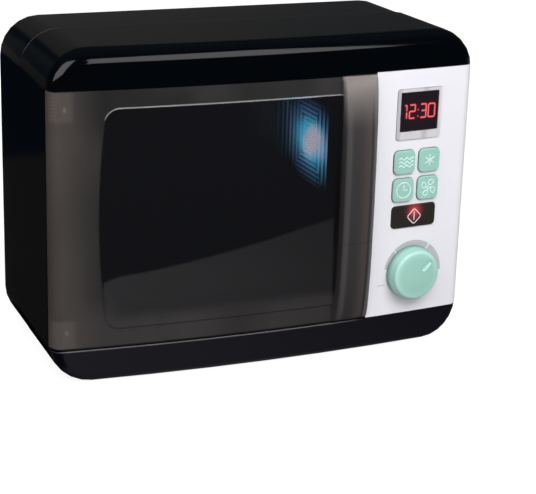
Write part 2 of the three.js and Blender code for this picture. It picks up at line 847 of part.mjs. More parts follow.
// A pan-head screw along y, its head at the back.
function screw(x, z, headY, radius, length, head, headWall) {
  const slotY = headY + headWall - screwSlotDepth;
  const reach = head * screwTopShare;
  const body = turned([
    [0, headY - length], [radius, headY - length + radius], [radius, headY],
    [head, headY], [reach, headY + headWall], [0, headY + headWall],
  ], x, z, 8);
  const slot = [reach, screwSlot / 2];
  return cut(
    body,
    ...[slot, [...slot].reverse()].map(([w, h]) => (
      block(x - w, x + w, slotY, headY + headWall + overrun, z - h, z + h)
    )),
  );
}

function smallScrew(x, z, headY) {
  return screw(x, z, headY, smallScrewRadius, smallScrewLength, smallScrewHead, smallScrewHeadWall);
}

// Cavity liner: an open-fronted box with rounded corners and a flange behind the bulkhead.
function cavityLiner() {
  const centre = (cavityFloor + cavityRoof) / 2;
  const frontDepth = bulkheadDepth + bulkheadWall + seatGap;
  const halfway = cavityRearRounding * (1 - Math.SQRT1_2);
  const shape = (grow, start) => bowed(cavityColumns(grow), centre, [
    { inset: 0, depth: start },
    { inset: 0, level: cavityBack + grow - cavityRearRounding },
    { inset: halfway, level: cavityBack + grow - halfway },
    { inset: cavityRearRounding, level: cavityBack + grow },
  ]);
  const flange = bowed(cavityColumns(linerWall + linerFlange), centre, [
    { inset: 0, depth: frontDepth },
    { inset: 0, depth: frontDepth + linerFlangeWall },
  ]);
  const clear = roundedShape(lensWidth + 2 * seatGap, lensHeight + 2 * seatGap, lensRadius + seatGap);
  return cut(
    join(shape(linerWall, frontDepth), flange),
    shape(0, frontDepth - overrun),
    onLensWall(plate(clear, -linerWall - overrun, overrun), 0),
    tongueRoom(),
  );
}

// The tongue and its catch pass beside the liner's flange.
function tongueRoom() {
  const half = tongueHeight / 2 + 2 * runGap + catchWall;
  const y = frontAt(tongueX) + bulkheadDepth;
  const [x0, x1] = [cavityRight + linerWall + seatGap, tongueX + catchLeg + overrun];
  return block(x0, x1, y, y + 2 * catchLength, tongueZ - half, tongueZ + half);
}

// Geometry drawn facing -y about the origin, turned to face into the cavity from its right wall. Its origin
// lands some way outside the wall's inner face.
function onLensWall(geometry, out) {
  return geometry.rotateZ(-Math.PI / 2).translate(cavityRight + out, lightY, lightZ);
}

// Cavity light: a clear plate with concentric ridges, held behind the liner's window.
function lightLens() {
  const back = linerWall + seatGap;
  const far = back + lensWall;
  const face = roundedShape(lensWidth, lensHeight, lensRadius);
  const rim = 2 * lensFlange;
  const flange = roundedShape(lensWidth + rim, lensHeight + rim, lensRadius + lensFlange);
  const parts = [
    plate(face, ridgeRise, far, 2),
    plate(flange, back, far, 2),
    ...[-1, 1].map((side) => bar('y', lampPost, back, far + lampPostLength, 0, side * lampPostSpan / 2, 10)),
  ];
  for (let k = 0; k < ridgeCount; k += 1) parts.push(ridge(k));
  return onLensWall(geometryOf(join(...parts)), 0);
}

// One ridge of the light's pattern, counted from the outside.
function ridge(k) {
  const inset = ridgeWidth / 2 + k * ridgePitch;
  const radiusAt = (inside) => Math.max(lensRadius - inside, ridgeWidth);
  const outer = roundedShape(lensWidth - 2 * inset, lensHeight - 2 * inset, radiusAt(inset));
  const inner = inset + ridgeWidth;
  outer.holes.push(roundedShape(lensWidth - 2 * inner, lensHeight - 2 * inner, radiusAt(inner)));
  return plate(outer, 0, ridgeRise + skin, 1);
}

// A solid's surface as a geometry, for moving it before it becomes a piece.
function geometryOf(piece) {
  const result = piece.getMesh();
  const geometry = new THREE.BufferGeometry();
  geometry.setAttribute('position', new THREE.BufferAttribute(Float32Array.from(result.vertProperties), 3));
  geometry.setIndex(new THREE.BufferAttribute(Uint32Array.from(result.triVerts), 1));
  return geometry;
}

function lampBoardDepth() {
  return linerWall + seatGap + lensWall + lampPostLength + seatGap;
}

function lampBoard() {
  const shape = roundedShape(lampBoardSize, lampBoardSize, ledFlangeWall);
  return onLensWall(plate(shape, lampBoardDepth(), lampBoardDepth() + boardWall, 2), 0);
}

// A round lamp facing -y, its flange at a depth y.
function led(depth) {
  const dome = Array.from({ length: 5 }, (_, k) => {
    const angle = Math.PI / 2 * k / 4;
    return [ledRadius * Math.sin(angle), depth - ledLength + ledRadius * (1 - Math.cos(angle))];
  });
  const rim = depth - ledFlangeWall;
  const wide = ledRadius + ledFlange;
  return turned([...dome, [ledRadius, rim], [wide, rim], [wide, depth], [0, depth]], 0, 0, 10);
}

// Door: a shallow smoked moulding with a raised window, a hollow pillar handle and a rolled hinge edge.
function doorColumns() {
  const half = (windowTop - windowBottom) / 2;
  const straight = half - windowRadius;
  const sideShares = [0.15, 0.45, 0.75, 1];
  const side = sideShares.map((share) => (
    { x: windowLeft + windowSideBow * share ** 2, z: straight * share, outX: -1, outZ: 0 }
  ));
  const corner = [1, 2, 3, 4].map((k) => (
    arcColumn(windowLeft + windowSideBow + windowRadius, straight, windowRadius, Math.PI - k * Math.PI / 8)
  ));
  const start = windowLeft + windowSideBow + windowRadius;
  const softening = windowSideBevel / windowBevel;
  return [...side, ...corner, ...straightColumns(start, windowRight, 2 * half, 6).slice(1)]
    .map((column) => ({ ...column, outX: column.outX * softening }));
}

function windowRelief() {
  const rounding = [0, 1, 2, 3].map((k) => {
    const angle = Math.PI / 2 * k / 3;
    return { inset: windowBevel * (1 - Math.sin(angle)), depth: -skin - windowRise * Math.cos(angle) };
  });
  const centre = (windowTop + windowBottom) / 2;
  return bowed(doorColumns(), centre, [...rounding, { inset: 0, depth: doorWall - skin }]);
}

// The handle's body, or its hollow when a wall is given: a pillar that swells forward between its two ends.
function handleBody(inside, backDepth) {
  const [z0, z1] = [doorBottom + inside, doorTop - runGap - inside];
  const [x0, x1] = [handleLeft + inside, panelLeft - runGap - inside];
  const xShares = [0, 0.04, 0.1, 0.2, 0.5, 0.8, 0.94, 1];
  const riseShares = [0, 0.55, 0.88, 0.98, 1, 0.98, 0.88, 0.66];
  const steps = 7;
  const section = xShares.length + 2;
  const positions = [];
  const outline = [];
  for (let k = -steps; k <= steps; k += 1) {
    const share = Math.sin(Math.PI / 2 * k / steps);
    const rise = handleRise * (1 - Math.abs(share) ** handleCurve) ** (1 / handleCurve);
    const z = (z0 + z1) / 2 + share * (z1 - z0) / 2;
    xShares.forEach((xShare, i) => {
      const x = x0 + xShare * (x1 - x0);
      positions.push(x, frontAt(x) + inside - skin - rise * riseShares[i], z);
    });
    positions.push(x1, frontAt(x1) + backDepth, z, x0, frontAt(x0) + backDepth, z);
  }
  for (let i = 0; i < section; i += 1) {
    outline.push(new THREE.Vector2(positions[3 * i], positions[3 * i + 1]));
  }
  const caps = THREE.ShapeUtils.triangulateShape(outline, []);
  const index = [];
  for (let r = 0; r < 2 * steps; r += 1) {
    for (let i = 0; i < section; i += 1) {
      const [a, b] = [r * section + i, r * section + (i + 1) % section];
      index.push(a, b, b + section, a, b + section, a + section);
    }
  }
  const last = 2 * steps * section;
  for (const [a, b, c] of caps) index.push(a, c, b, a + last, b + last, c + last);
  const geometry = new THREE.BufferGeometry();
  geometry.setAttribute('position', new THREE.BufferAttribute(Float32Array.from(positions), 3));
  geometry.setIndex(index);
  return geometry;
}

// The hinge edge curls on behind the casing's side, about the hinge axis.
function hingeRollEdge() {
  const [start, end] = [hingeRollStart * degrees, hingeRollEnd * degrees];
  const shape = new THREE.Shape();
  shape.absarc(hingeX, hingeY, hingeRoll, start, end, true);
  shape.absarc(hingeX, hingeY, hingeRoll - hingeRollWall, end, start, false);
  const [z0, z1] = [doorBottom, doorTop - runGap];
  const roll = new THREE.ExtrudeGeometry(shape, { depth: z1 - z0, bevelEnabled: false, curveSegments: 4 });
  return roll.translate(0, 0, z0);
}

function hingeBlock(z0, z1) {
  const web = block(hingeX - hingeBlockWidth, hingeX + hingeBlockWidth, -halfDepth, hingeY, z0, z1);
  return join(common(casingForm(skin, seamY), web), bar('z', hingeBarrel, z0, z1, hingeX, hingeY, 24));
}

function latchTongue() {
  const y0 = frontAt(tongueX) - handleRise + handleWall / 2;
  const y1 = frontAt(tongueX) + bulkheadDepth + tongueReach;
  const [x0, x1] = [tongueX - tongueWidth / 2, tongueX + tongueWidth / 2];
  const half = tongueHeight / 2;
  const hook = new THREE.Shape();
  hook.moveTo(x0 + skin, y1);
  hook.lineTo(x0 - tongueHook, y1 - tongueHookLength / 2);
  hook.lineTo(x0 + skin, y1 - tongueHookLength);
  const barb = new THREE.ExtrudeGeometry(hook, { depth: tongueHeight, bevelEnabled: false });
  barb.translate(0, 0, tongueZ - half);
  return join(block(x0, x1, y0, y1, tongueZ - half, tongueZ + half), barb);
}

function door() {
  const [x0, x1] = [-halfWidth - overrun, panelLeft - runGap];
  const [z0, z1] = [doorBottom, doorTop - runGap];
  const rim = doorRimWall;
  const outer = common(casingForm(0, seamY), frontSpace(x0, x1, z0, z1, bulkheadDepth - runGap));
  const hollowSpace = frontSpace(x0, x1 - rim, z0 + rim, z1 - rim, bulkheadDepth + overrun);
  const inner = common(casingForm(doorWall, seamY), hollowSpace);
  const blocks = [hingeBlock(z0, z0 + hingeBlockHeight), hingeBlock(z1 - hingeBlockHeight, z1)];
  const shell = join(cut(outer, inner), windowRelief(), handleBody(0, doorWall));
  const hollow = handleBody(handleWall, bulkheadDepth + overrun);
  const pinHoles = [[z0 - overrun, z0 + pinDepth], [z1 - pinDepth, z1 + overrun]].map(([a, b]) => (
    bar('z', pinRadius + runFit, a, b, hingeX, hingeY, 24)
  ));
  return cut(join(cut(shell, hollow), hingeRollEdge(), ...blocks, latchTongue()), ...pinHoles);
}

function hingePin(z) {
  const away = z === baseTop ? -1 : 1;
  const inDoor = z - away * (pinDepth - seatGap);
  const [a, b] = [inDoor, z + away * pinAnchor].sort((p, q) => p - q);
  return bar('z', pinRadius, a, b, hingeX, hingeY, 24);
}

// A bent strip behind the bulkhead, whose two legs lie beside the tongue.
function catchClip() {
  const near = tongueWidth / 2 + runGap;
  const [left, right] = [tongueX - near - tongueHook, tongueX + near];
  const y0 = frontAt(right + catchLeg) + bulkheadDepth + bulkheadWall + seatGap;
  const [z0, z1] = [tongueZ - catchHeight / 2, tongueZ + catchHeight / 2];
  const back = y0 + catchLength;
  const zBox = (x0, x1, a, b) => block(x0, x1, a, b, z0, z1);
  return join(
    zBox(left - catchWall, left, y0, back),
    zBox(right, right + catchWall, y0, back),
    zBox(left - catchWall, right + catchWall, back - catchWall, back),
    zBox(right, right + catchLeg, y0, y0 + catchWall),
  );
}

// Control panel
const buttonNames = ['button_waves', 'button_snowflake', 'button_clock', 'button_fan'];
const buttonPlaces = [[-1, 0], [1, 0], [-1, -1], [1, -1]].map(([column, row]) => (
  [column * buttonPitch / 2, buttonRowZ + row * buttonPitch]
));
const boardMiddleZ = (boardBottom + boardTop) / 2;
const boardHoles = [[-1, -1], [1, -1], [-1, 1], [1, 1]].map(([across, up]) => [
  across * (boardWidth / 2 - boardInset),
  boardMiddleZ + up * ((boardTop - boardBottom) / 2 - boardInset),
]);

function controlPanel() {
  const [x0, x1] = [panelLeft + seatGap / 2, halfWidth + overrun];
  const [z0, z1] = [baseTop + seatGap, panelTop - seatGap];
  const rim = panelRimWall;
  const outer = common(casingForm(0, seamY), frontSpace(x0, x1, z0, z1, bulkheadDepth - seatGap));
  const inner = common(
    casingForm(panelWall, seamY),
    frontSpace(x0 + rim, x1, z0 + rim, z1 - rim, bulkheadDepth + overrun),
  );
  const postEnd = boardDepth - seatGap;
  const holeEnd = boardDepth - smallScrewLength;
  const posts = boardHoles.map(([x, z]) => bar('y', boardPost, panelWall / 2, postEnd, x, z, 10));
  const panel = join(cut(outer, inner), ...[...posts, springHolder()].map(onPanel));
  return cut(panel, ...[
    ...boardHoles.map(([x, z]) => bar('y', smallScrewRadius + fitGap, holeEnd, boardDepth, x, z, 8)),
    ...buttonPlaces.map(([x, z]) => panelHole(buttonSize, buttonSize, buttonRadius, buttonGap, x, z)),
    panelHole(startWidth, startHeight, startRadius, buttonGap, 0, startZ),
    panelHole(moduleWidth, moduleHeight, displayRadius, seatGap, 0, displayZ),
    bar('y', shaftRadius + runFit, -overrun, panelWall + overrun, 0, knobZ, 24),
    bezelRecess(),
    springSlot(),
  ].map(onPanel));
}

// A cut right through the panel for a piece of a given size, with a gap round it.
function panelHole(width, height, radius, gap, x, z) {
  const shape = roundedShape(width + 2 * gap, height + 2 * gap, radius + gap, x, z);
  return plate(shape, -overrun, panelWall + overrun, 2);
}

function bezelRecess() {
  const shape = roundedShape(bezelWidth + 2 * seatGap, bezelHeight + 2 * seatGap, bezelRadius, 0, bezelZ);
  return plate(shape, -overrun, bezelSeat, 2);
}

// The post behind the panel that holds the click spring's upper end, and the slot in it.
function springHolder() {
  const [x, z] = [springX(), knobZ + springLength / 2];
  const back = wheelY() + wheelWall + overrun;
  return block(x - springPost, x + springPost, panelWall / 2, back, z, z + springPost);
}

function springSlot() {
  const [x, z] = [springX(), knobZ + springLength / 2];
  const half = springWall / 2 + seatGap;
  const back = wheelY() + wheelWall + 2 * overrun;
  return block(x - half, x + half, wheelY() - seatGap, back, z - overrun, z + springPost / 2);
}

// A key with a softly rounded cap, a flange behind the panel and a stem towards its switch.
function key(width, height, radius, rise, x, z) {
  const cap = (inset, y) => ({ inset, y });
  const rings = [
    cap(buttonBevel, -rise),
    cap(buttonBevel * (1 - Math.sin(Math.PI / 4)), -rise + buttonBevelDepth * (1 - Math.cos(Math.PI / 4))),
    cap(0, -rise + buttonBevelDepth),
    cap(0, panelWall + seatGap + skin),
  ];
  const flangeY = panelWall + seatGap;
  const grown = 2 * buttonFlange;
  const flange = roundedShape(width + grown, height + grown, radius + buttonFlange, x, z);
  const half = buttonStem / 2;
  return join(
    levelLoft(roundedColumns(width, height, radius, 3, 1), x, z, rings),
    plate(flange, flangeY, flangeY + buttonFlangeWall, 1),
    block(x - half, x + half, flangeY, buttonStemReach, z - half, z + half),
  );
}

// A loft through level rings, for a piece drawn in the panel's frame.
function levelLoft(columns, x, z, rings) {
  const level = rings.map(({ inset, y }) => ({ inset, level: y }));
  return bowed(columns, z, level).translate(x, 0, 0);
}

function displayBezel() {
  const outer = roundedShape(bezelWidth, bezelHeight, bezelRadius, 0, bezelZ);
  const inner = roundedShape(displayWidth, displayHeight, displayRadius, 0, displayZ);
  const grown = 2 * seatGap;
  const ledge = roundedShape(moduleWidth + grown, moduleHeight + grown, displayRadius, 0, displayZ);
  const back = bezelSeat - seatGap;
  return cut(
    plate(outer, -bezelRise, back, 3),
    plate(inner, -bezelRise - overrun, displayBack() + seatGap, 2),
    plate(ledge, -overrun, back + overrun, 2),
  );
}

function displayBack() {
  return -bezelRise + displaySunk + displayWall;
}

function displayWindow() {
  const shrunk = 2 * seatGap;
  const shape = roundedShape(displayWidth - shrunk, displayHeight - shrunk, displayRadius, 0, displayZ);
  return plate(shape, displayBack() - displayWall, displayBack(), 2);
}

function displayModule() {
  const front = displayBack() + 2 * seatGap;
  const shape = roundedShape(moduleWidth, moduleHeight, displayRadius, 0, displayZ);
  return plate(shape, front, boardDepth - seatGap, 2);
}

// Circuit board with one switch behind each key.
function circuitBoard() {
  const half = switchSize / 2;
  const switches = [...buttonPlaces, [0, startZ]].flatMap(([x, z]) => [
    block(x - half, x + half, boardDepth - switchBody, boardDepth + skin, z - half, z + half),
    bar('y', switchPlunger, switchFront(), boardDepth, x, z, 8),
  ]);
  const back = boardDepth + boardWall;
  const board = block(-boardWidth / 2, boardWidth / 2, boardDepth, back, boardBottom, boardTop);
  const [w, h] = [chipWidth / 2, chipHeight / 2];
  const chip = block(-w, w, back - skin, back + chipWall, boardMiddleZ - h, boardMiddleZ + h);
  const hole = smallScrewRadius + fitGap;
  return cut(
    join(board, chip, ...switches),
    ...boardHoles.map(([x, z]) => bar('y', hole, boardDepth - overrun, back + overrun, x, z, 8)),
  );
}

function switchFront() {
  return buttonStemReach + buttonTravel + seatGap;
}

// Knob
function knob() {
  const [base, face] = [-knobLift, -knobLift - knobHeight];
  const top = knobRadius - knobDraft;
  const rounding = Array.from({ length: 4 }, (_, k) => {
    const angle = Math.PI / 2 * k / 3;
    return [top - knobRounding * (1 - Math.cos(angle)), face + knobRounding * (1 - Math.sin(angle))];
  });
  const inside = knobRadius - knobWall;
  const floor = face + knobWall;
  const body = turned([
    [0, face - knobDome], [knobRadius / 2, face - knobDome * domeShare],
    ...rounding.reverse(), [knobRadius, base], [inside, base],
    [inside - knobDraft, floor], [knobHub, floor], [knobHub, base], [0, base],
  ], 0, knobZ, 32);
  const angle = knobPointerAngle * degrees;
  const length = pointerOuter - pointerInner + 2 * pointerRadius;
  const centre = (pointerInner + pointerOuter) / 2;
  const mark = roundedShape(length, 2 * pointerRadius, pointerRadius, centre, 0);
  const groove = plate(mark, face - knobDome - overrun, face + pointerDepth, 4);
  groove.rotateY(-angle).translate(0, 0, knobZ);
  const socket = bar('y', shaftRadius + fitGap, base - shaftSocket, base + overrun, 0, knobZ, 24);
  return cut(body, groove, socket);
}

function knobShaft() {
  return bar('y', shaftRadius, -knobLift - shaftSocket + seatGap, shaftReach, 0, knobZ, 24);
}

// A disc with a bore on the knob's shaft.
function disc(radius, y0, y1, sides) {
  return cut(
    bar('y', radius, y0, y1, 0, knobZ, sides),
    bar('y', shaftRadius + fitGap, y0 - overrun, y1 + overrun, 0, knobZ),
  );
}

function retainer() {
  const y = panelWall + seatGap;
  return disc(retainerRadius, y, y + retainerWall, 20);
}

function wheelY() {
  return panelWall + 2 * seatGap + retainerWall;
}

// A wheel with rounded notches that the click spring rides over.
function clickWheel() {
  const shape = new THREE.Shape();
  const steps = 3 * wheelTeeth;
  for (let k = 0; k < steps; k += 1) {
    const angle = 2 * Math.PI * k / steps;
    const radius = wheelRadius - wheelTooth * (1 - Math.abs(Math.cos(wheelTeeth * angle / 2)));
    const point = [radius * Math.cos(angle), knobZ + radius * Math.sin(angle)];
    if (k === 0) shape.moveTo(...point);
    else shape.lineTo(...point);
  }
  const [front, back] = [wheelY(), wheelY() + wheelWall];
  const bore = bar('y', shaftRadius + fitGap, front - overrun, back + overrun, 0, knobZ);
  return cut(plate(shape, front, back), bore);
}

function springX() {
  return wheelRadius + springNose + runGap;
}

// A leaf beside the wheel, with a rounded nose, clamped at its upper end.
function clickSpring() {
  const x = springX();
  const [z0, z1] = [knobZ - springLength / 4, knobZ + springLength / 2 + springPost / 2 - seatGap];
  const [y0, y1] = [wheelY(), wheelY() + springHeight];
  return join(
    block(x - springWall / 2, x + springWall / 2, y0, y1, z0, z1),
    bar('y', springNose - springWall / 2, y0, y1, x, knobZ, 12),
  );
}

// Speaker: rim, basket and magnet in one, and its cone.
function speaker() {
  const back = speakerRimBack();
  const front = back - speakerDepth;
  const mouth = speakerRadius - speakerRim;
  const floor = front + speakerMagnetWall + speakerRimWall;
  return turned([
    [0, front], [speakerMagnet, front], [speakerMagnet, front + speakerMagnetWall],
    [mouth, back - speakerRimWall], [speakerRadius, back - speakerRimWall], [speakerRadius, back],
    [mouth, back], [speakerMagnet - speakerRimWall, floor], [0, floor],
  ], speakerX, speakerZ, 20);
}

function speakerRimBack() {
  return halfDepth - wall - seatGap;
}

function speakerCone() {
  const back = speakerRimBack();
  const front = back - speakerDepth + speakerMagnetWall + speakerRimWall + seatGap;
  const half = speakerRimWall / 2;
  const wide = speakerRadius - speakerRim - half;
  const narrow = speakerMagnet - speakerRimWall - seatGap;
  return turned([
    [0, front], [narrow, front], [wide, back - seatGap],
    [wide - half, back - seatGap], [narrow - half, front + half], [0, front + half],
  ], speakerX, speakerZ, 20);
}

// Assembly
addPiece('front_housing', frontHousing(), blackShell);
addPiece('rear_cover', rearCover(), blackShell);
addPiece('cavity_liner', cavityLiner(), blackInner);
addPiece('control_panel', controlPanel(), whitePanel);
addPiece('door', door(), smokedDoor);
addPiece('hinge_pin_lower', hingePin(baseTop), steel);
addPiece('hinge_pin_upper', hingePin(doorTop), steel);
addPiece('door_catch', catchClip(), whiteNylon);
addPiece('display_bezel', displayBezel(), silverTrim, controls);
addPiece('display_window', displayWindow(), displayLens, controls);
addPiece('display_module', displayModule(), chipBlack, controls);
buttonPlaces.forEach(([x, z], i) => {
  addPiece(buttonNames[i], key(buttonSize, buttonSize, buttonRadius, buttonRise, x, z), mintKey, controls);
});
addPiece('button_start', key(startWidth, startHeight, startRadius, startRise, 0, startZ), blackKey, controls);
addPiece('knob', knob(), mintKey, controls);
addPiece('knob_shaft', knobShaft(), whiteNylon, controls);
addPiece('knob_retainer', retainer(), steel, controls);
addPiece('click_wheel', clickWheel(), whiteNylon, controls);
addPiece('click_spring', clickSpring(), steel, controls);
addPiece('circuit_board', circuitBoard(), boardGreen, controls);
boardHoles.forEach(([x, z], i) => {
  addPiece(`board_screw_${i + 1}`, smallScrew(x, z, boardDepth + boardWall + seatGap), steel, controls);
});
addPiece('light_lens', lightLens(), clearLens);
addPiece('lamp_led', onLensWall(led(lampBoardDepth() - seatGap), 0), blueLamp);
addPiece('lamp_board', lampBoard(), boardGreen);
addPiece('speaker', speaker(), speakerGrey);
addPiece('speaker_cone', speakerCone(), chipBlack);
addPiece('battery_tray', batteryTray(), blackInner);
addPiece('battery_door', batteryDoor(), blackShell);
[-1, 0, 1].forEach((row, i) => {
  addPiece(`battery_${i + 1}`, battery(row), batteryJacket);
  addPiece(`battery_contact_${i + 1}`, batteryContact(row), steel);
});
addPiece('battery_screw', smallScrew(batteryMiddleX, batteryScrewZ(), halfDepth - smallScrewHeadWall), steel);
caseScrews.forEach(([x, z], i) => {
  const seat = screwFloorY + screwSeat + fitGap;
  const piece = screw(x, z, seat, screwRadius, screwLength, screwHead, screwHeadWall);
  addPiece(`case_screw_${i + 1}`, piece, steel);
});

export default microwave;
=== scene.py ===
"""Looks of a toy microwave oven: camera, stage, finishes, printed and raised marks."""

import math

import bmesh
import bpy
from mathutils import Matrix, Vector
from mathutils.bvhtree import BVHTree


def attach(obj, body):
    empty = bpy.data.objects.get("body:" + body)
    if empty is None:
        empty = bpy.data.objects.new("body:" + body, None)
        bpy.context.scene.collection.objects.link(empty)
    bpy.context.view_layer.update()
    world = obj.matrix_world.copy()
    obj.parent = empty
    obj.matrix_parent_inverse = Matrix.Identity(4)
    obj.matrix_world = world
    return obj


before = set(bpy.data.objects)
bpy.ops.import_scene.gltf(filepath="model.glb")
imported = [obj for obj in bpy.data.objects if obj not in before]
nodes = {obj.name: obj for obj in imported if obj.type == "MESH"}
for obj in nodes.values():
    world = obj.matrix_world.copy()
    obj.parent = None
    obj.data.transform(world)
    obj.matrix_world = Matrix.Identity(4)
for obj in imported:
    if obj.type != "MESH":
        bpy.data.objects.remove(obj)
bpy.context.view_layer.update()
scene = bpy.context.scene
MM = 0.001

# The camera fitted to the photo: pixels, then millimetres in the frame of the part, then degrees
PHOTO_SIZE = (536, 494)
PRINCIPAL_POINT = (229.92, 228.77)
FOCAL_LENGTH = 1577.58
SENSOR_WIDTH = 36
CAMERA_PLACE = (-371.22, -921.32, 389.14)
CAMERA_AZIMUTH = -21.821
CAMERA_ELEVATION = 17.799
CAMERA_ROLL = 1.331

# Places in millimetres in the frame of the part: x right, y back, z up
BASE_TOP = 22.3
SEAM = 10.55
WINDOW = dict(left=-111.4, bow=3.6, top=173.1, bottom=35.0, radius=8.5)
# Across the handle: its left edge, its painted ridge highlight and its right edge; and up it, its
# painted reflection line
HANDLE = dict(left=42.9, crest_highlight=47.6, right=64.0, line=77.5)
HINGE_BLOCKS = dict(x=-133.0, heights=(174.5, 33.0))
HINGE_PINS = dict(x=-130.8, heights=(173.0, 34.2))

# The hinge blocks' ribs: their turn is in radians for each millimetre of height
HINGE_RIBS = dict(x=-137.4, turn=2.9)

# The lens is measured from its middle, and its lines of light from its edge inwards
LENS = dict(y=11.0, z=127.0, half=(31.0, 35.0), edge=1.5, upright_pitch=5.8, level_pitch=3.1)

# The brightest place on the lens, as y and z
LAMP = (5.2, 124.8)

# Upright bands of light painted on the cavity's corner: x and strength
LIT_BANDS = ((54.7, 1.0), (52.1, 0.5), (48.8, 0.25))

# The door's moulding and its window: roughness, and the share of light let through
HAZY = dict(roughness=0.42, clear=0.12)
POLISHED = dict(roughness=0.014, clear=0.8)

# The panel's middle, its turn in radians, and places on it: across from its middle and up
PANEL_MIDDLE = (100.0, -61.671)
PANEL_TURN = 0.07841
DISPLAY_UP = 157.9
KEYS = dict(waves=(-9.2, 125.2), snowflake=(9.2, 125.2), clock=(-9.2, 106.8), fan=(9.2, 106.8))
START = (0.0, 88.6)
KNOB = (0.0, 50.6)
# Height above the panel of the painted highlight round the knob's rounded edge
KNOB_CREST = 8.9

# The knob's pointer: its angle in degrees, then millimetres along and beside its own line
POINTER = dict(turn=42, middle=8.6, half=3.6, shaded=1.5, lit=-1.55)

# Marks in millimetres; a raised mark starts a little under the face
MARK_WIDTH = 0.95
FAN_WIDTH = 0.9
MARK_RISE = 0.3
MARK_SUNK = 0.02
START_WIDTH = 0.75
START_RISE = 0.12
PRINT_RISE = 0.03
DIGIT_HALF = 4.3
DIGIT_WIDTH = 1.3
DIGIT_RISE = 0.04
CORE_WIDTH = 0.55
CORE_BASE = 0.05

# Edges that bend by more degrees than this stay sharp
SHARP_ANGLE = 32

# Corners that lie closer together than this, in millimetres, are joined
SPLIT_CORNER = 0.002

MINT = (0.345, 0.645, 0.54)
# Colour of the painted shade at the foot of the mint keys and the knob
MINT_SHADE = (0.06, 0.17, 0.15)

# Strength of the soft light from all sides, and the place, in metres, that the softboxes stand round
SOFT_LIGHT = 0.25
LIT_BACK = -0.05
LIT_UP = 0.18


# Smooth shading


def shading_tree():
    """Joins split corners and shades smooth, apart from sharp edges."""
    tree = bpy.data.node_groups.new("soft_edges", "GeometryNodeTree")
    tree.interface.new_socket("Geometry", in_out="INPUT", socket_type="NodeSocketGeometry")
    tree.interface.new_socket("Geometry", in_out="OUTPUT", socket_type="NodeSocketGeometry")
    start = tree.nodes.new("NodeGroupInput")
    bare = tree.nodes.new("GeometryNodeRemoveAttribute")
    bare.inputs["Name"].default_value = "custom_normal"
    merge = tree.nodes.new("GeometryNodeMergeByDistance")
    merge.inputs["Distance"].default_value = SPLIT_CORNER * MM
    faces = tree.nodes.new("GeometryNodeSetShadeSmooth")
    faces.domain = "FACE"
    edges = tree.nodes.new("GeometryNodeSetShadeSmooth")
    edges.domain = "EDGE"
    edges.inputs["Shade Smooth"].default_value = False
    bend = tree.nodes.new("GeometryNodeInputMeshEdgeAngle")
    sharp = tree.nodes.new("FunctionNodeCompare")
    sharp.data_type = "FLOAT"
    sharp.operation = "GREATER_THAN"
    sharp.inputs["B"].default_value = math.radians(SHARP_ANGLE)
    end = tree.nodes.new("NodeGroupOutput")
    link = tree.links.new
    link(start.outputs[0], bare.inputs["Geometry"])
    link(bare.outputs[0], merge.inputs["Geometry"])
    link(merge.outputs[0], faces.inputs["Geometry"])
    link(faces.outputs[0], edges.inputs["Geometry"])
    link(bend.outputs["Unsigned Angle"], sharp.inputs["A"])
    link(sharp.outputs["Result"], edges.inputs["Selection"])
    link(edges.outputs[0], end.inputs[0])
    return tree


def soften(obj, tree):
    """Smooths a piece's shading without moving a vertex."""
    obj.modifiers.new("soft_edges", "NODES").node_group = tree
    even = obj.modifiers.new("even_normals", "WEIGHTED_NORMAL")
    even.keep_sharp = True
    even.weight = 50


# Node materials


